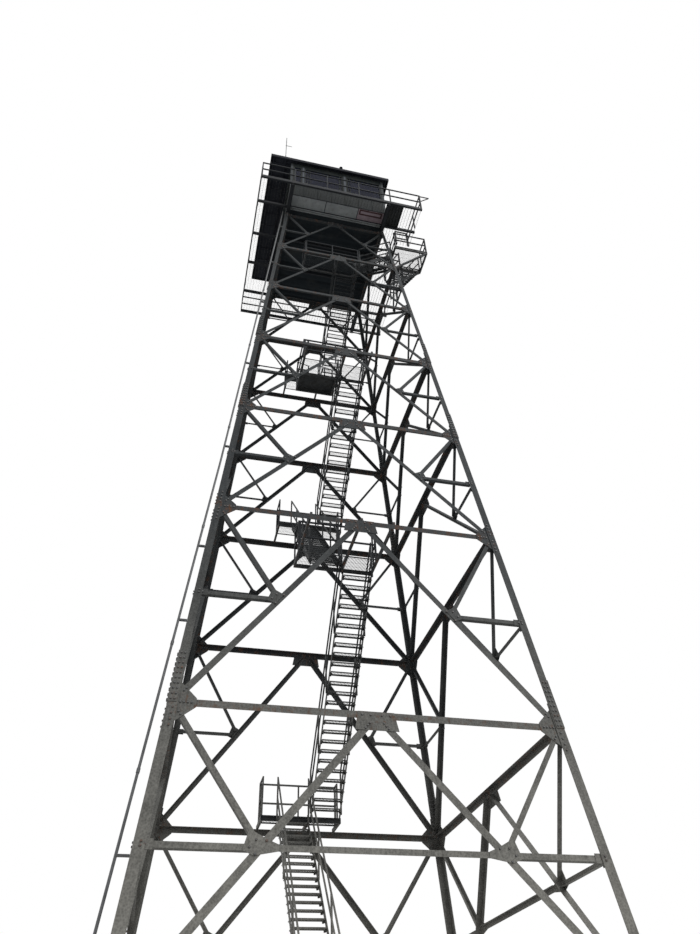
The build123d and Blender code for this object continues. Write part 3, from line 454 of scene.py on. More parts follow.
def settle(name, size=(1, 1, 1)):
    """Name the new object, and put its move, turn and size into its mesh."""
    piece = bpy.context.object
    piece.name = piece.data.name = name
    piece.scale = size
    alone(piece)
    bpy.ops.object.transform_apply(location=True, rotation=True, scale=True)
    return piece


@contextmanager
def editing(piece):
    """Edit mode on one piece, with all of it selected at first."""
    alone(piece)
    bpy.ops.object.mode_set(mode="EDIT")
    bpy.ops.mesh.select_mode(type="FACE")
    bpy.ops.mesh.select_all(action="SELECT")
    yield
    bpy.ops.object.mode_set(mode="OBJECT")


def soften(piece, width, segments=1, test=None):
    """Bevel the edges of a piece, or only those whose middle passes a test."""
    with editing(piece):
        if test:
            pick_edges(piece, test)
        bpy.ops.mesh.bevel(offset=width, segments=segments, affect="EDGES")
    return piece


def inset_faces(piece, test, thickness, depth, each=False):
    """Inset the faces whose normal passes a test, and push them out, or in with a minus."""
    with editing(piece):
        pick_faces(piece, test)
        bpy.ops.mesh.inset(thickness=thickness, depth=depth, use_individual=each)
    return piece


def block(name, low, high, soft=0):
    """Block between two corners, made from a cube, with its edges softened if a width is given."""
    low, high = Vector(low), Vector(high)
    bpy.ops.object.select_all(action="DESELECT")
    bpy.ops.mesh.primitive_cube_add(size=1, location=(low + high) / 2)
    piece = settle(name, high - low)
    return soften(piece, soft) if soft else piece


def upright(name, sides, radius, depth, place=(0, 0, 0)):
    """Upright bar with a few flat sides, standing on a place."""
    bpy.ops.object.select_all(action="DESELECT")
    middle = Vector(place) + Vector((0, 0, depth / 2))
    bpy.ops.mesh.primitive_cylinder_add(vertices=sides, radius=radius, depth=depth, location=middle)
    return settle(name)


def ring(name, radius, depth, sides=12, share=0.12, rise=0.06):
    """Upright bar with inset, raised ends, in shares of its radius, with its foot at the origin."""
    return inset_faces(upright(name, sides, radius, depth), lambda normal: abs(normal.z) > 0.9,
                       radius * share, radius * rise)


def pick_faces(piece, test):
    """Select only the faces whose normal passes a test."""
    bpy.ops.mesh.select_all(action="DESELECT")
    mesh = bmesh.from_edit_mesh(piece.data)
    for face in mesh.faces:
        face.select_set(test(face.normal))
    bmesh.update_edit_mesh(piece.data)


def pick_edges(piece, test):
    """Select only the edges whose middle passes a test."""
    bpy.ops.mesh.select_mode(type="EDGE")
    bpy.ops.mesh.select_all(action="DESELECT")
    for edge in bmesh.from_edit_mesh(piece.data).edges:
        edge.select_set(test((edge.verts[0].co + edge.verts[1].co) / 2))


def ring_block(name, low, high, width, axis=1):
    """Block between two corners, opened to a ring along X (0), Y (1) or Z (2)."""
    piece = block(name, low, high)
    with editing(piece):
        pick_faces(piece, lambda normal: abs(normal[axis]) > 0.5)
        bpy.ops.mesh.inset(thickness=width)
        bpy.ops.mesh.bridge_edge_loops()
        bpy.ops.mesh.select_all(action="SELECT")
        bpy.ops.mesh.normals_make_consistent(inside=False)
    return piece


def modified(piece, kind, **settings):
    """Give a piece a modifier with its settings, and apply it."""
    modifier = piece.modifiers.new(kind, kind)
    for key, value in settings.items():
        setattr(modifier, key, value)
    alone(piece)
    bpy.ops.object.modifier_apply(modifier=kind)
    return piece


def repeated(piece, count, step):
    """Repeat a piece in a row with an array."""
    return modified(piece, "ARRAY", use_relative_offset=False, use_constant_offset=True,
                    constant_offset_displace=step, count=count)


def placed_copies(model, places):
    """Copies of a model at each place, a matrix, and each with its own mesh. The model goes."""
    copies = []
    for place in places:
        copy = model.copy()
        copy.data = model.data.copy()
        copy.data.transform(place)
        bpy.context.scene.collection.objects.link(copy)
        copies.append(copy)
    bpy.data.objects.remove(model)
    return copies


def joined(name, pieces):
    """Join pieces into one object."""
    alone(pieces[0])
    for piece in pieces:
        piece.select_set(True)
    if len(pieces) > 1:
        bpy.ops.object.join()
    whole = bpy.context.view_layer.objects.active
    whole.name = whole.data.name = name
    return whole


def hand_over(name, pieces, material):
    """Join pieces, give the whole its material and slot, and let it ride on the tower."""
    whole = joined(name, pieces)
    whole.data.materials.clear()
    whole.data.materials.append(material)
    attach(whole, "root")
    print(f"{name}: {len(whole.data.polygons)} faces")
    return whole


def boxes_of(node):
    """Lowest and highest corners of each separate solid of a node, from the ground up."""
    mesh = bmesh.new()
    mesh.from_mesh(nodes[node].data)
    bmesh.ops.remove_doubles(mesh, verts=mesh.verts, dist=1e-5)
    left, boxes = set(mesh.verts), []
    while left:
        found, todo = [], [left.pop()]
        while todo:
            vert = todo.pop()
            found.append(vert.co.copy())
            new = {edge.other_vert(vert) for edge in vert.link_edges} & left
            left -= new
            todo += new
        boxes.append([Vector([pick(co[axis] for co in found) for axis in range(3)]) for pick in (min, max)])
    mesh.free()
    return sorted(boxes, key=lambda corners: corners[1].z)


lie_down = Matrix.Rotation(pi / 2, 4, "Y")
soft_edge = 0.003
print("helpers ready")

# %% [markdown]
# Every gusset plate is bolted: to the leg's flange, and to each bar that ends on it. A bolt could be
# a plain disc at this distance, but seen from near by the hexagon, the chamfer and the washer
# matter. One bolt head and one nut are modelled with a few dozen faces and copied along the bars.

# %% One bolt head and one nut
bolt_radius, bolt_height, bolt_shank = 0.021, 0.015, 0.012
washer_radius, washer_height = 0.025, 0.004
chamfer, chamfer_rise, shank_inset = 0.004, 0.003, 0.007


def hex_model(name, height=bolt_height, shank=0):
    """Hexagon on a washer, with its face looking up: a head, or a nut with a shank through it."""
    washer = upright("washer", 8, washer_radius, washer_height)
    head = upright(name, 6, bolt_radius, height, (0, 0, washer_height))
    with editing(head):
        pick_faces(head, lambda normal: normal.z > 0.5)
        bpy.ops.mesh.inset(thickness=chamfer, depth=chamfer_rise)
        if shank:
            bpy.ops.mesh.inset(thickness=shank_inset, depth=0)
            bpy.ops.mesh.extrude_region_move(TRANSFORM_OT_translate={"value": (0, 0, shank)})
        pick_faces(head, lambda normal: normal.z < -0.5)
        bpy.ops.mesh.delete(type="FACE")
    return joined(name, [head, washer])


print("bolt radius:", bolt_radius, "washer radius:", washer_radius)

# %% [markdown]
# The four sides lean inwards, and each is a copy of the front one, turned about the tower's middle.
# So the bolts are laid out once on the front side, in its own leaning plane, with a few sums for
# where the legs, struts and braces run. No list of bolt places could follow the bars so closely.

# %% Where the bars of the front side run
batter, top_half, top_height = 0.0888, 2.134, 30.48
base_half = top_half + batter * top_height
lean = atan(batter)
leg_gauge, plate_gauge, strut_gauge, brace_gauge, sub_gauge = 0.02, 0.012, 0.012, 0.01, 0.008
bar_seat = leg_gauge + plate_gauge
bar_gap = 0.012
work_inset = 0.203 / 2
strut_flanges = [0.14, 0.15, 0.15, 0.15, 0.15, 0.125, 0.125, 0.125]
brace_flanges = [0.15, 0.14, 0.125, 0.11, 0.1, 0.09, 0.09]
sub_flanges = [0.11, 0.1, 0.09, 0.08, 0.07, 0.065]
plate_halves = [0.52, 0.56, 0.52, 0.48, 0.45, 0.4, 0.38, 0.26]
leg_steps = [(0.448, 0.203), (7.6, 0.178), (17, 0.152), (20.9, 0.127)]
splice_half = 0.575
front_up = Vector((0, sin(lean), cos(lean)))
front_out = Vector((0, -cos(lean), sin(lean)))


def half_width(height):
    """Half the distance between the legs' corners at a height."""
    return base_half - batter * height


def leg_flange(height):
    """Width of the leg's flange at a height."""
    return [flange for start, flange in leg_steps if height >= start][-1]


def joint(level):
    """Right-hand joint of a level, across and up the leaning side."""
    return Vector((half_width(joint_heights[level]) - work_inset, joint_heights[level] / cos(lean)))


def front_turn(across, up, out, flip=False):
    """Matrix that stands a model on the front side, looking out or, when flipped, looking in."""
    facing, sideways = (-front_out, Vector((-1, 0, 0))) if flip else (front_out, Vector((1, 0, 0)))
    place = Vector((across, -base_half, 0)) + front_up * up + front_out * out
    turned = Matrix((sideways, facing.cross(sideways), facing)).transposed().to_4x4()
    return Matrix.Translation(place) @ turned


def clear_of(own, other, along, line):
    """How far a bar of one width stays back from the middle of another, whose way is a line."""
    return (other / 2 + own / 2 * abs(along.dot(line))) / abs(along.cross(line)) + bar_gap


def clear_of_leg(own, along):
    """How far a bar stays back from a joint so that its corner clears the leg."""
    running, rising = abs(along.x), abs(along.y)
    reach = bar_seat + own + bar_gap - work_inset + own / 2 * (rising + batter * running)
    return reach / (running - batter * rising)


print("base half width:", round(base_half, 3), "lean:", round(lean, 4))

# %% [markdown]
# Three small functions note bolts on both halves of the side: at any spots, along a bar from its end,
# and up a leg. Then one loop goes through the levels and one through the tiers between them. The
# sub-bars of the top tier get no bolts, because the stairs leave through the right side there, and
# that half of it has none.

# %% Places of the bolts of the front side
bolt_pitch, end_inset, row_limit = 0.075, 0.05, 4
plate_margin, top_reach = 0.06, 0.08
leg_line, leg_rows = 0.62, 4
middle_reach, middle_pitch, middle_inset = 0.17, 0.3, 0.02
head_inset, head_pitch = 0.12, 0.18
sub_inset, sub_half_pitch, splice_margin = 0.04, 0.035, 0.03
level_line = Vector((1, 0))
head_places, back_places = [], []


def add_bolts(points, seat, grip):
    """Note bolts on both halves of the front side, with the nut behind the bolted parts."""
    for point in points:
        for across in (point.x, -point.x):
            head_places.append(front_turn(across, point.y, seat))
            back_places.append(front_turn(across, point.y, seat - grip, flip=True))


def bolt_bar(start, aim, gauge, count, pitch=bolt_pitch, inset=end_inset):
    """Note a row of bolts from the start of a bar that lies on the plates."""
    along = (aim - start).normalized()
    points = [start + along * (inset + pitch * number) for number in range(count)]
    add_bolts(points, -leg_gauge, plate_gauge + gauge)


def bolt_leg(ups):
    """Note bolts through the leg's flange and the plate behind it, but not under a splice."""
    for up in ups:
        height = up * cos(lean)
        if all(abs(height - start) >= splice_half + splice_margin for start, flange in leg_steps[1:]):
            across = half_width(height) - leg_flange(height) * leg_line
            add_bolts([Vector((across, up))], 0, leg_gauge + plate_gauge)


for level, half in enumerate(plate_halves):
    up = joint(level).y
    setback = bar_seat + max(strut_flanges) + bar_gap
    count = min(row_limit, int((half - setback - end_inset) / bolt_pitch) + 1)
    bolt_bar(Vector((half_width(joint_heights[level]) - setback, up)), Vector((0, up)), strut_gauge, count)
    pitch = (half - plate_margin) / leg_rows
    top = leg_rows if level + 1 < len(plate_halves) else int(top_reach / pitch)
    bolt_leg([up + pitch * number for number in range(-leg_rows, top + 1) if number])
for tier, brace in enumerate(brace_flanges):
    strut, upper_strut = strut_flanges[tier:tier + 2]
    foot, corner = joint(tier), joint(tier + 1)
    head = Vector((0, corner.y))
    line, middle = (head - foot).normalized(), (foot + head) / 2
    foot_gap = max(clear_of(brace, strut, line, level_line), clear_of_leg(brace, line))
    bolt_bar(foot + line * foot_gap, head, brace_gauge, 2)
    bolt_bar(head - line * clear_of(brace, upper_strut, line, level_line), foot, brace_gauge, 3)
    bolt_bar(middle - line * middle_reach, head, brace_gauge, 2, middle_pitch, middle_inset)
    bolt_bar(head, corner, strut_gauge, 2, head_pitch, head_inset)
    if tier < len(sub_flanges):
        sub, above = sub_flanges[tier], (corner - middle).normalized()
        inner = middle + level_line * clear_of(sub, brace, level_line, line)
        outer = Vector((half_width(middle.y * cos(lean)) - bar_seat - sub - bar_gap, middle.y))
        low_gap = max(clear_of(sub, sub, above, level_line), clear_of(sub, brace, above, line))
        high_gap = max(clear_of(sub, upper_strut, above, level_line), clear_of_leg(sub, above))
        bolt_bar(inner, outer, sub_gauge, 1, inset=sub_inset)
        bolt_bar(outer, inner, sub_gauge, 1, inset=sub_inset)
        bolt_bar(middle + above * low_gap, corner, sub_gauge, 1, inset=sub_half_pitch)
        bolt_bar(corner - above * high_gap, middle, sub_gauge, 2, 2 * sub_half_pitch, sub_inset)
        bolt_leg([middle.y - sub_half_pitch, middle.y + sub_half_pitch])
print("bolts on one side:", len(head_places))

# %% [markdown]
# The side's bolts are joined into one piece, and that piece is turned to the other three sides, each
# with its own mesh. Where a leg changes its section, two rows of bolts run along the splice.

# %% Bolts of the four sides
splice_gauge = 0.012
splice_rows = 10
splice_pitch = 0.115
splice_lines = (0.3, 0.72)

for start, flange in leg_steps[1:]:
    for number in range(splice_rows):
        up = start / cos(lean) + (number - (splice_rows - 1) / 2) * splice_pitch
        height = up * cos(lean)
        plated = any(abs(height - level) < half for level, half in zip(joint_heights, plate_halves))
        points = [Vector((half_width(height) - share * flange, up)) for share in splice_lines]
        add_bolts(points, splice_gauge, splice_gauge + leg_gauge + (plate_gauge if plated else 0))

heads = placed_copies(hex_model("bolt_head"), head_places)
nuts = placed_copies(hex_model("bolt_nut", shank=bolt_shank), back_places)
first_side = joined("side_bolts", heads + nuts)
quarter_turns = [Matrix.Rotation(pi / 2 * number, 4, "Z") for number in range(4)]
for side, side_bolts in zip(("front", "right", "back", "left"), placed_copies(first_side, quarter_turns)):
    hand_over(f"{side}_bolts", [side_bolts], bolt_steel)

# %% [markdown]
# Each leg stands on a base plate, which four anchor rods hold down on the pier. The rods are cast in
# the concrete, and a large nut on each presses the plate down. The same nut is used, half as large
# again, with a longer end of rod above it. Ribs with one corner cut off stiffen the shoe's angles.

# %% Anchor nuts and shoe ribs
plate_top = 0.448
shoe_middle = 4.6648
anchor_reach, anchor_height, anchor_shank = 0.19, 0.02, 0.035
anchor_size = Matrix.Scale(1.45, 4)
shoe_gauge = 0.016
rib_height, rib_depth, rib_gauge = 0.22, 0.085, 0.014
rib_sink, rib_setback = 0.03, 0.12

anchor_lines = [side * shoe_middle + reach for side in (-1, 1) for reach in (-anchor_reach, anchor_reach)]
anchors = placed_copies(hex_model("anchor_nut", anchor_height, anchor_shank),
                        [Matrix.Translation((x, y, plate_top)) @ anchor_size
                         for x in anchor_lines for y in anchor_lines])
hand_over("anchor_nuts", anchors, bolt_steel)

rib_face = -half_width(plate_top) - shoe_gauge
rib = block("shoe_rib", (-rib_gauge / 2, rib_face - rib_depth, plate_top),
            (rib_gauge / 2, rib_face + rib_sink, plate_top + rib_height))
soften(rib, rib_depth * 0.9, 1, lambda middle: middle.y < rib_face - rib_depth / 2
       and middle.z > plate_top + rib_height / 2 and abs(middle.x) < rib_gauge / 4)
rib_across = half_width(plate_top) - rib_setback
ribs = placed_copies(rib, [quarter @ Matrix.Translation((side * rib_across, 0, 0))
                           for quarter in quarter_turns for side in (1, -1)])
hand_over("shoe_ribs", ribs, tower_steel)

# %% [markdown]
# The treads are solid boxes in the frame, but from below the sky shows through the real ones. An open
# tread has a rolled nosing along its front edge, a bar along its back, short bearing bars between
# them, and an angle cleat at each end, bolted through the stringer. One nosing is stretched to the
# width of every tread, and the bars are made once for each width. Which way a flight climbs follows
# from the next tread up.

# %% Where the treads are
step_rise, step_run = 0.3, (0.05, 0.4)


def climbs(node):
    """Each tread's box with the direction in which its flight climbs."""
    boxes, found = boxes_of(node), []
    uphill = Vector((0, 1, 0))
    for number, (low, high) in enumerate(boxes):
        ahead = (boxes[number + 1][0] if number + 1 < len(boxes) else low) - low
        flat = Vector((ahead.x, ahead.y, 0))
        if ahead.z < step_rise and step_run[0] < flat.length < step_run[1]:
            uphill = flat.normalized()
        found.append((low, high, uphill))
    return found


tread_nodes = ["lower_stair_treads", "upper_stair_treads", "outside_stair_treads"]
treads = [tread for node in tread_nodes for tread in climbs(node)]
print("treads:", len(treads))

# %% Models of the nosing, the cleat and the open tread
tread_gauge, tread_depth = 0.032, 0.215
tread_back = 0.022
tread_bar_pitch = 0.042
bar_gauge, bar_lift = 0.005, 0.006
nosing_drop, nosing_depth, nosing_proud = 0.036, 0.03, 0.003
nosing_inset, nosing_round = 0.006, 0.005
cleat_side, cleat_gauge = 0.045, 0.005
cleat_start, cleat_end = 0.03, 0.185
overlap = 0.001


def nosing_model():
    """Rolled nosing, one metre wide, with its inner corner at the origin."""
    piece = block("nosing", (-0.5, -nosing_proud, -nosing_drop), (0.5, nosing_depth, nosing_proud))
    inset_faces(piece, lambda normal: normal.y < -0.5, nosing_inset, 0.001)
    return soften(piece, nosing_round, 2,
                  lambda middle: middle.z > 0 and middle.y < 0 and abs(middle.x) < 0.1)


def cleat_model():
    """Angle cleat under a tread's end, with its corner at the origin."""
    piece = block("cleat", (0, cleat_start, -cleat_side), (cleat_side, cleat_end, 0))
    with editing(piece):
        pick_faces(piece, lambda normal: normal.x > 0.5 or normal.z < -0.5)
        bpy.ops.mesh.delete(type="FACE")
    return modified(piece, "SOLIDIFY", thickness=cleat_gauge, offset=-1)


def open_tread_model(width):
    """Open tread without its nosing: a back bar and bearing bars, in the tread's own axes."""
    back = block("back_bar", (-width / 2, tread_depth - tread_back, -tread_gauge),
                 (width / 2, tread_depth, 0), soft_edge)
    bar = block("bearing_bar", (-width / 2, nosing_depth - overlap, bar_lift - tread_gauge),
                (bar_gauge - width / 2, tread_depth - tread_back + overlap, -0.001))
    count = round(width / tread_bar_pitch)
    return joined("open_tread", [back, repeated(bar, count + 1, ((width - bar_gauge) / count, 0, 0))])


print("tread:", tread_depth, "deep, bars every", tread_bar_pitch)

# %% Nosings, open treads, cleats and their bolts
stringer_gauge = 0.012
nosing_gap, tread_gap = 0.004, 0.002
cleat_bolts, cleat_bolt_drop, cleat_bolt_size = (0.065, 0.15), 0.055, Matrix.Scale(0.6, 4)


def tread_frame(low, high, uphill):
    """Matrix of a tread's own axes at the middle of its nose (X across, Y uphill, Z up), and its width."""
    across = uphill.cross(Vector((0, 0, 1)))
    nose = (low + high) / 2 - uphill * abs((high - low).dot(uphill)) / 2
    turned = Matrix((across, uphill, Vector((0, 0, 1)))).transposed().to_4x4()
    return Matrix.Translation((nose.x, nose.y, high.z)) @ turned, abs((high - low).dot(across))


nosing_places, cleat_places, cleat_bolt_places, tread_places = [], [], [], {}
for tread in treads:
    place, width = tread_frame(*tread)
    tread_places.setdefault(round(width, 3), []).append(place)
    nosing_places.append(place @ Matrix.Diagonal((width - nosing_gap, 1, 1, 1)))
    for side in (1, -1):
        end = Matrix.Translation((-side * width / 2, 0, -tread_gauge)) @ Matrix.Diagonal((side, 1, 1, 1))
        cleat_places.append(place @ end)
        for along in cleat_bolts:
            outside = Matrix.Translation((side * (width / 2 + stringer_gauge), along, -cleat_bolt_drop))
            turned = Matrix.Rotation(side * pi / 2, 4, "Y") @ cleat_bolt_size
            cleat_bolt_places.append(place @ outside @ turned)

hand_over("tread_nosings", placed_copies(nosing_model(), nosing_places), stair_steel)
tread_pieces = [piece for width, places in tread_places.items()
                for piece in placed_copies(open_tread_model(width - tread_gap), places)]
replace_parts(hand_over("open_treads", tread_pieces, stair_steel), *tread_nodes)
cleats = joined("tread_cleats", placed_copies(cleat_model(), cleat_places))
with editing(cleats):
    bpy.ops.mesh.normals_make_consistent(inside=False)
hand_over("tread_cleats", [cleats], tower_steel)
tread_bolts = placed_copies(hex_model("tread_bolt"), cleat_bolt_places)
hand_over("tread_bolts", tread_bolts, bolt_steel)

# %% [markdown]
# The catwalk, the landings and the outside platform are open grating too, which from the ground is
# nearly all sky. Thin bearing bars stand on edge in a flat border, each made once and repeated by an
# array, and take the place of the frame's solid decks. Only the extra piece of the deepest landing,
# which is narrower than the decks, is plate. The rims and beams below a deck are channels, so their
# long faces are sunk in.

# %% Gratings of the landings, the platform and the catwalk
deck_gauge = 0.04
rim_width = 0.06
border_gauge = 0.006
grating_pitch, grating_depth = 0.041, 0.03
rod_pitch, rod_radius = 0.2, 0.003
channel_lip, channel_depth = 0.01, 0.015
widest_slat, widest_plate = 0.04, 2


def channel(low, high, axis):
    """Beam between two corners with its two long upright faces sunk in."""
    beam = block("channel", low, high)
    return inset_faces(beam, lambda normal: abs(normal[axis]) > 0.5, channel_lip, -channel_depth, True)


def grating(low, high):
    """Border, bearing bars along Y and thin rods along X, just under a deck's upper side."""
    border = ring_block("border", (low.x, low.y, high.z - deck_gauge), high, border_gauge, 2)
    count = round((high.x - low.x) / grating_pitch)
    pitch = (high.x - low.x) / count
    first = low.x + pitch - bar_gauge / 2
    bar = block("bearing_bar", (first, low.y + border_gauge, high.z - grating_depth),
                (first + bar_gauge, high.y - border_gauge, high.z - 0.001))
    rod = upright("rod", 4, rod_radius, high.x - low.x - 2 * border_gauge)
    start = Matrix.Translation((low.x + border_gauge, low.y + rod_pitch / 2, high.z - 0.006))
    rod.data.transform(start @ lie_down)
    rods = repeated(rod, int((high.y - low.y) / rod_pitch), (0, rod_pitch, 0))
    return [border, repeated(bar, count - 1, (pitch, 0, 0)), rods]


landing_parts = []
for low, high in boxes_of("stair_landings"):
    under = high.z - deck_gauge
    if high.x - low.x > widest_plate:
        landing_parts += grating(low, high)
    else:
        landing_parts.append(block("plate", (low.x, low.y, under), high, soft_edge))
    rim = low.y if low.y > 0 else high.y - rim_width
    landing_parts.append(channel((low.x, rim, low.z), (high.x, rim + rim_width, under), 1))
landing_gratings = hand_over("landing_gratings", landing_parts, walkway_steel)
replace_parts(landing_gratings, "stair_landings")

stub, (low, high) = sorted(boxes_of("outside_platform"), key=lambda corners: corners[0].x)
under = high.z - deck_gauge
platform_parts = grating(low, high) + [channel(*stub, 1)]
for y in (low.y, high.y - rim_width):
    platform_parts.append(channel((low.x, y, low.z), (high.x, y + rim_width, under), 1))
near, far = low.y + rim_width, high.y - rim_width
for x in (low.x, high.x - rim_width):
    platform_parts.append(channel((x, near, low.z), (x + rim_width, far, under), 0))
platform_grating = hand_over("platform_grating", platform_parts, walkway_steel)
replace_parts(platform_grating, "outside_platform")

catwalk_bars = []
for low, high in boxes_of("catwalk_slats"):
    if high.x - low.x > widest_slat:
        catwalk_bars.append(block("edge", low, high, soft_edge))
    else:
        across = (low.x + high.x - bar_gauge) / 2
        catwalk_bars.append(block("bar", (across, low.y, low.z), (across + bar_gauge, high.y, high.z)))
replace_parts(hand_over("catwalk_grating", catwalk_bars, walkway_steel), "catwalk_slats")

# %% [markdown]
# A light wire mesh lies on the catwalk's bearing bars. Its wires have to be thin and their own piece:
# one wire is repeated along each patch of the walk by an array, in both directions.

# %% Wire mesh of the catwalk
walk_top = 30.42
wire_radius = 0.0014
wire_pitch = 0.075
cab_half, cab_front, cab_back = top_half, -2.85, 2.45
walk_left, walk_right, walk_front, walk_back = -3.43, 3.6, -3.404, 3.504
corner_plate_edge, corner_plate_back, strip_gap = 2.8, -2.3, 0.015
well_edge, well_front, well_back = 3.028, -1.5, 0.5
stub_edge, stub_back = 3.93, 1.4
mesh_patches = [(walk_left, -cab_half, walk_front, walk_back),
                (-cab_half, cab_half, walk_front, cab_front),
                (-cab_half, cab_half, cab_back, walk_back),
                (cab_half, corner_plate_edge, corner_plate_back, walk_back),
                (corner_plate_edge + strip_gap, well_edge, walk_front, walk_back),
                (well_edge, walk_right, walk_front, well_front),
                (well_edge, walk_right, well_back, walk_back),
                (walk_right, stub_edge, well_back, stub_back)]


def wires(left, right, front, back):
    """Both layers of wires of one patch of mesh."""
    layers = []
    spans = [(right - left, back - front, 0), (back - front, right - left, 1)]
    for length, across, turned in spans:
        wire = ring("wire", wire_radius, length, sides=4, share=0.3, rise=0.5)
        height = walk_top + wire_radius * (3 - 2 * turned)
        wire.data.transform(Matrix.Translation((left, front, height))
                            @ Matrix.Rotation(pi / 2 * turned, 4, "Z") @ lie_down)
        step = (wire_pitch, 0, 0) if turned else (0, wire_pitch, 0)
        layers.append(repeated(wire, int(across / wire_pitch) + 1, step))
    return layers


mesh_layers = [layer for patch in mesh_patches for layer in wires(*patch)]
hand_over("catwalk_wire_mesh", mesh_layers, walkway_steel)

# %% [markdown]
# Each window hole gets a frame: a block as large as the hole, whose two faces are inset and bridged,
# which leaves a ring with square edges. Narrow bars stand beside the mullions, where the sashes meet.
# Walls along the cab are made like those across it, with X and Y changed over.

# %% Window frames and bars
wall_gauge = 0.1
floor_top = 30.45
sill_height = floor_top + 1.02
head_height = sill_height + 1.5
mullion_half = 0.06
frame_width, frame_depth, frame_inset = 0.045, 0.06, 0.004
bar_width, bar_inset, fine_edge = 0.028, 0.012, 0.004
front_mullions = [-2.064, -1.57, 0.33, 2.064]
side_first = cab_front + wall_gauge + mullion_half
side_last = cab_back - wall_gauge - mullion_half
side_mullions = [side_first + (side_last - side_first) / 3 * number for number in range(4)]
door_middle, door_half = 0.93, 0.41
door_low, door_high = door_middle - door_half, door_middle + door_half


def clear_spans(middles):
    """Spans between members, from the list of their middles."""
    return [(a + mullion_half, b - mullion_half) for a, b in zip(middles, middles[1:])]


def on_wall(along, low, high):
    """Both corners of a box, with X and Y changed over if its wall runs along the cab."""
    return [(y, x, z) if along else (x, y, z) for x, y, z in (low, high)]


def window(span, face, along, bars):
    """Frame and bars of one window."""
    low, high = span
    near, far = sorted((face, face + (frame_depth if face < 0 else -frame_depth)))
    corners = on_wall(along, (low, near, sill_height), (high, far, head_height))
    pieces = [ring_block("frame", *corners, frame_width, 0 if along else 1)]
    for place in bars:
        if low + frame_width < place < high - frame_width:
            foot = (place - bar_width / 2, near + bar_inset, sill_height + frame_width)
            head = (place + bar_width / 2, far - bar_inset, head_height - frame_width)
            pieces.append(block("bar", *on_wall(along, foot, head), fine_edge))
    return pieces


front_spans, side_spans = clear_spans(front_mullions), clear_spans(side_mullions)
right_spans = [side_spans[0], (side_spans[1][0], door_low - 2 * mullion_half),
               (door_high + 2 * mullion_half, side_spans[2][1])]
beside_mullions = [-1.37, -1.27, 0.09, 0.19, 0.47, 0.57]
side_bars = [(low + high) / 2 for low, high in side_spans]
window_rows = [(front_spans, cab_front + frame_inset, False, beside_mullions),
               (front_spans, cab_back - frame_inset, False, beside_mullions),
               (side_spans, frame_inset - cab_half, True, side_bars),
               (right_spans, cab_half - frame_inset, True, side_bars)]
window_parts = [part for spans, *rest in window_rows for span in spans for part in window(span, *rest)]
hand_over("window_frames", window_parts, cab_paint)

# %% [markdown]
# Blue-grey cover strips close the joints between the windows, and a sill throws the rain clear of the
# wall. The wall itself is sheet in narrow panels: a folded seam stands every 61 cm, and angles cover
# the cab's corners. They are thin, so a block with bevelled edges says enough.

# %% Cover strips, sills, wall seams and corner angles
cover_width, cover_gauge, cover_drop = 0.08, 0.012, 0.02
sill_depth, sill_gauge, sill_drop, sill_end = 0.055, 0.04, 0.01, 0.09
seam_pitch, seam_width, seam_proud = 0.61, 0.022, 0.014
door_margin = 0.12
corner_side, corner_gauge, corner_drop = 0.09, 0.005, 0.03
wall_low, wall_high, wall_fall = floor_top, 33.2, 0.17

cover_rows = [(cab_front - cover_gauge, cab_front, 0.04), (cab_back, cab_back + cover_gauge, 0.02)]
covers = [block("cover", (place - cover_width / 2, near, sill_height - cover_drop),
                (place + cover_width / 2, far, head_height + over), soft_edge)
          for near, far, over in cover_rows for place in front_mullions[1:3]]
hand_over("mullion_covers", covers, cover_paint)

sill_spots = [((-cab_half, cab_front - sill_depth), (cab_half, cab_front)),
              ((-cab_half, cab_back), (cab_half, cab_back + sill_depth)),
              ((-cab_half - sill_depth, cab_front), (-cab_half, cab_back)),
              ((cab_half, cab_front), (cab_half + sill_depth, door_low - sill_end)),
              ((cab_half, door_high + sill_end), (cab_half + sill_depth, cab_back))]
sill_low = sill_height - sill_gauge - sill_drop
sills = [block("sill", (*low, sill_low), (*high, sill_height - sill_drop), 0.008)
         for low, high in sill_spots]
hand_over("window_sills", sills, cab_paint)


def seam(along, middle, near, far):
    """Folded seam that stands on a wall."""
    foot = (middle - seam_width / 2, near, wall_low)
    head = (middle + seam_width / 2, far, sill_low - 0.01)
    return block("seam", *on_wall(along, foot, head), fine_edge)


seams = [seam(False, number * seam_pitch - cab_half, near, near + seam_proud)
         for number in range(1, 7) for near in (cab_front - seam_proud, cab_back)]
for number in range(1, 9):
    middle = cab_front + number * seam_pitch
    seams.append(seam(True, middle, -cab_half - seam_proud, -cab_half))
    if abs(middle - door_middle) > door_half + door_margin:
        seams.append(seam(True, middle, cab_half, cab_half + seam_proud))
hand_over("wall_seams", seams, cab_paint)

corner_angles = []
for x, y in ((-cab_half, cab_front), (cab_half, cab_front), (cab_half, cab_back), (-cab_half, cab_back)):
    sx, sy = (1 if x > 0 else -1), (1 if y > 0 else -1)
    outer_x, outer_y = x + sx * corner_gauge, y + sy * corner_gauge
    top = wall_high if y < 0 else wall_high - wall_fall
    for across, deep in (((x - sx * corner_side, outer_x), (y, outer_y)),
                         ((x, outer_x), (y - sy * corner_side, y - sy * 0.0005))):
        corner_angles.append(block("corner", (min(across), min(deep), wall_low - corner_drop),
                                   (max(across), max(deep), top), 0.0015))
hand_over("cab_corner_angles", corner_angles, corner_paint)

# %% [markdown]
# The door is a plain leaf in the frame. It gets a trim round the opening, a sunk panel drawn as a
# raised frame, a kick plate, three hinges and a lever. The lever is a bar, bent by extruding one
# end face sideways. A small light sits in the upper half.

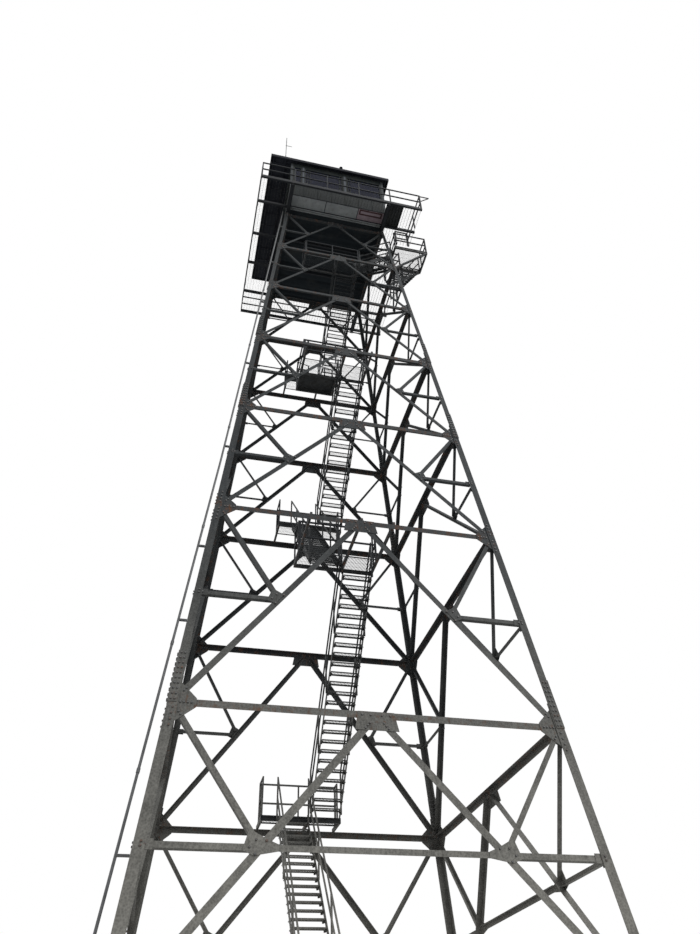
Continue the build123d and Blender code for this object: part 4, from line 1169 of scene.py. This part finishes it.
# %% Door trim, panel, hinges and lever
door_outer = cab_half - 0.0275
door_top = 2.03
trim_width, trim_proud = 0.07, 0.018
panel_inset, kick_inset, pane_inset = 0.1, 0.03, 0.138
hinge_heights, hinge_radius, hinge_length = (0.2, 1.0, 1.8), 0.009, 0.1
lever_inset, lever_height = 0.07, 1.02


def on_door(face, low, high, proud, sunk=0):
    """Both corners of a box on a face, from its ends along Y and above the floor."""
    return (face - sunk, low[0], floor_top + low[1]), (face + proud, high[0], floor_top + high[1])


corners = on_door(cab_half, (door_low - trim_width, -0.02), (door_high + trim_width, door_top + trim_width),
                  trim_proud, overlap)
door_trim = ring_block("door_trim", *corners, trim_width, 0)
with editing(door_trim):
    bpy.ops.mesh.bisect(plane_co=(0, 0, floor_top + 0.0005), plane_no=(0, 0, 1),
                        clear_inner=True, use_fill=True)
hand_over("door_trim", [door_trim], corner_paint)

mouldings = []
for low, high, proud, width in ((0.32, 1.0, 0.009, 0.022), (1.12, 1.86, 0.014, 0.04)):
    corners = on_door(door_outer, (door_low + panel_inset, low), (door_high - panel_inset, high),
                      proud, overlap)
    mouldings.append(ring_block("moulding", *corners, width, 0))
corners = on_door(door_outer, (door_low + kick_inset, 0.03), (door_high - kick_inset, 0.26), 0.003)
mouldings.append(block("kick_plate", *corners, 0.001))
hand_over("door_mouldings", mouldings, door_paint)
corners = on_door(door_outer, (door_low + pane_inset, 1.158), (door_high - pane_inset, 1.822), 0.006)
hand_over("door_light_pane", [block("pane", *corners, 0.001)], window_glass)

fittings = []
for height in hinge_heights:
    knuckle = upright("hinge", 10, hinge_radius, hinge_length,
                      (door_outer + 0.01, door_high - 0.004, floor_top + height))
    soften(knuckle, 0.002)
    leaf = on_door(door_outer, (door_high - 0.05, height + 0.005),
                   (door_high - 0.004, height + 0.095), 0.004)
    fittings += [knuckle, block("hinge_leaf", *leaf, 0.001)]
handle = Matrix.Translation((door_outer, door_low + lever_inset, floor_top + lever_height)) @ lie_down
rose, lever = upright("rose", 16, 0.028, 0.008), upright("lever", 10, 0.0095, 0.05)
for piece in (rose, lever):
    piece.data.transform(handle)
soften(rose, 0.002)
with editing(lever):
    pick_faces(lever, lambda normal: normal.x > 0.9)
    bpy.ops.mesh.extrude_region_move(TRANSFORM_OT_translate={"value": (0.012, 0.012, 0)})
    bpy.ops.mesh.extrude_region_move(TRANSFORM_OT_translate={"value": (0.002, 0.1, -0.004)})
    bpy.ops.transform.resize(value=(0.8, 0.8, 0.8))
hand_over("door_hinges_and_lever", fittings + [rose, lever], conduit_zinc)

# %% [markdown]
# From the ground the underside is what shows most. Under the front edge of the floor the boards are
# covered by paler sheets with seams, the one on the right faded to a pinkish grey and holding a
# hatch in a red-brown frame. Behind them a pair of pale angles crosses the tower under a joist.

# %% Sheets, hatch and angles under the floor
floor_under, under_gauge, hatch_gauge = 30.39, 0.01, 0.016
sheet_front, sheet_back = cab_front + 0.012, -2.345
sheet_spans = [(-2.12, -0.545), (-0.515, 0.885), (0.915, 2.12)]
hatch_left, hatch_right, hatch_start, hatch_end, hatch_width = 0.96, 1.98, 0.015, 0.26, 0.06
joist_under = 30.26
angle_rows = [(-2.348, 1), (-2.252, -1)]
angle_half, angle_side, angle_flat, angle_gauge, angle_lap = 2.0, 0.05, 0.04, 0.006, 0.02

sheet_low = floor_under - under_gauge
sheets = [block("under_sheet", (low, sheet_front, sheet_low), (high, sheet_back, floor_under), 0.002)
          for low, high in sheet_spans]
hand_over("underfloor_sheets", sheets[:2], trim_paint)
hand_over("underfloor_end_sheet", sheets[2:], mauve_paint)

hatch = ring_block("hatch", (hatch_left, sheet_front + hatch_start, sheet_low - hatch_gauge),
                   (hatch_right, sheet_front + hatch_end, sheet_low), hatch_width, 2)
hand_over("underfloor_hatch_frame", [soften(hatch, soft_edge)], red_paint)

under_angles = []
for place, sense in angle_rows:
    for reach, low, high in ((sense * angle_flat, joist_under - angle_gauge, joist_under),
                             (-sense * angle_gauge, joist_under - angle_side, joist_under + angle_lap)):
        near, far = sorted((place, place + reach))
        under_angles.append(block("flat", (-angle_half, near, low), (angle_half, far, high), 0.001))
hand_over("cross_beam_angles", under_angles, trim_paint)

# %% [markdown]
# The wide eaves are carried by rafters, which show as faint lines on the soffit. Each is a softened
# block, made level and then shifted point by point to follow the roof's slope. On top, the roof is
# sheet with standing seams that run down the slope, and a flat strip of flashing lies along each edge.

# %% Rafter tails under the eaves
roof_left, roof_right, roof_front, roof_back = -3.07, 2.4, -3.02, 3.42
soffit_front, soffit_back = 33.28, 33.06
edge_board = 0.038
rafter_width, rafter_drop, rafter_pitch, rafter_start = 0.045, 0.085, 0.52, 0.1
cross_drop, cross_pitch, cross_start = 0.05, 0.62, 0.15
wall_gap = 0.012


def roof_under(y):
    """Height of the roof's underside at a place along Y."""
    return soffit_front + (soffit_back - soffit_front) * (y - roof_front) / (roof_back - roof_front)


def follow_roof(piece, over=0):
    """Shift a piece that was made near the ground up to the sloping roof, point by point."""
    for vert in piece.data.vertices:
        vert.co.z += roof_under(vert.co.y) + over
    return piece


tails = []
for number in range(11):
    x = roof_left + edge_board + rafter_start + rafter_pitch * number
    spans = [(roof_front + edge_board, roof_back - edge_board)]
    if abs(x) < cab_half + rafter_width:
        spans = [(spans[0][0], cab_front - wall_gap), (cab_back + wall_gap, spans[0][1])]
    for low, high in spans:
        foot, head = (x - rafter_width / 2, low, -rafter_drop), (x + rafter_width / 2, high, 0)
        tails.append(follow_roof(block("tail", foot, head, fine_edge)))
for number in range(9):
    y = cab_front + cross_start + cross_pitch * number
    cross = block("cross", (roof_left + edge_board, y - rafter_width / 2, -cross_drop),
                  (-cab_half - 0.006, y + rafter_width / 2, -0.002), fine_edge)
    cross.data.transform(Matrix.Translation((0, 0, roof_under(y) - 0.003)))
    tails.append(cross)
hand_over("eave_rafters", tails, roof_sheet)

# %% Roof seams and edge flashing
roof_gauge = 0.09
seam_half, seam_height, seam_start, seam_end = 0.009, 0.028, 0.2, 0.06
roof_seam_pitch = 0.42
flashing_width, flashing_gauge, flashing_gap = 0.07, 0.003, 0.001

standing_seam = block("roof_seam", (-seam_half, roof_front + seam_end, -0.006),
                      (seam_half, roof_back - seam_end, seam_height))
with editing(standing_seam):
    pick_faces(standing_seam, lambda normal: normal.z > 0.5)
    bpy.ops.mesh.inset(thickness=0.002)
    bpy.ops.transform.resize(value=(1.9, 1, 1))
    bpy.ops.mesh.extrude_region_move(TRANSFORM_OT_translate={"value": (0, 0, 0.005)})
follow_roof(standing_seam, roof_gauge)
standing_seam.data.transform(Matrix.Translation((roof_left + seam_start, 0, 0)))
seam_count = int((roof_right - roof_left - 2 * seam_start) / roof_seam_pitch) + 1
all_seams = repeated(standing_seam, seam_count, (roof_seam_pitch, 0, 0))
hand_over("roof_seams", [all_seams], roof_sheet)

flashings = []
side_front = roof_front + flashing_width + flashing_gap
side_back = roof_back - flashing_width - flashing_gap
for low, high in (((roof_left, roof_front), (roof_right, roof_front + flashing_width)),
                  ((roof_left, roof_back - flashing_width), (roof_right, roof_back)),
                  ((roof_left, side_front), (roof_left + flashing_width, side_back)),
                  ((roof_right - flashing_width, side_front), (roof_right, side_back))):
    flash = block("flash", (*low, 0.0005), (*high, flashing_gauge + 0.0005), 0.001)
    flashings.append(follow_roof(flash, roof_gauge))
hand_over("roof_edge_flashing", flashings, conduit_zinc)

# %% [markdown]
# The whip mast and the conduit are round, so their fittings are turned shapes: a ring is a short bar
# whose ends are inset and raised a little. The conduit is made of lengths joined by couplings, and
# each clamp that holds it has a bolt.

# %% Couplings, clamp bolts and rings
conduit_radius = 0.027
conduit_foot, conduit_bend = 0.42, 14.0
offset_top, offset_base = 0.13, 0.265
coupling_length, coupling_gauge = 0.09, 0.007
coupling_heights = [2.6, 5.6, 8.3, 11.6, 15.4, 19.6, 23.2, 26.4, 29.2]
clamp_heights = [1.25, 4.2, 8.9, 11, 14.6, 18.6, 22.4, 25.4, 28.6]
clamp_width, clamp_bolt_size = 0.04, Matrix.Scale(0.45, 4)
mast_place = (-2.4, -2.8)
mast_fittings = [(34.93, 0.024, 0.05), (33.9, 0.022, 0.03), (35.3, 0.021, 0.025), (33.52, 0.028, 0.06)]


def conduit_place(height):
    """Middle of the conduit at a height."""
    closing = min(1, (height - conduit_foot) / (conduit_bend - conduit_foot))
    offset = offset_base + (offset_top - offset_base) * closing
    return Vector((-half_width(height) - offset, -half_width(height) + conduit_radius, height))


coupling_places = []
for height in coupling_heights:
    foot, head = conduit_place(height), conduit_place(height + coupling_length)
    tilt = Vector((0, 0, 1)).rotation_difference(head - foot).to_matrix().to_4x4()
    coupling_places.append(Matrix.Translation(foot) @ tilt)
couplings = placed_copies(ring("coupling", conduit_radius + coupling_gauge, coupling_length), coupling_places)
hand_over("conduit_couplings", couplings, conduit_zinc)

clamp_bolt_places = []
for height in clamp_heights:
    spot = conduit_place(height)
    across = (spot.x + conduit_radius - half_width(height)) / 2
    place = Matrix.Translation((across, spot.y - conduit_radius, height + clamp_width / 2))
    clamp_bolt_places.append(place @ Matrix.Rotation(pi / 2, 4, "X") @ clamp_bolt_size)
clamp_bolts = placed_copies(hex_model("clamp_bolt"), clamp_bolt_places)
hand_over("clamp_bolts", clamp_bolts, bolt_steel)

ring_places = [Matrix.Translation((*mast_place, height)) @ Matrix.Diagonal((radius, radius, depth, 1))
               for height, radius, depth in mast_fittings]
hand_over("mast_rings", placed_copies(ring("mast_ring", 1, 1), ring_places), conduit_zinc)
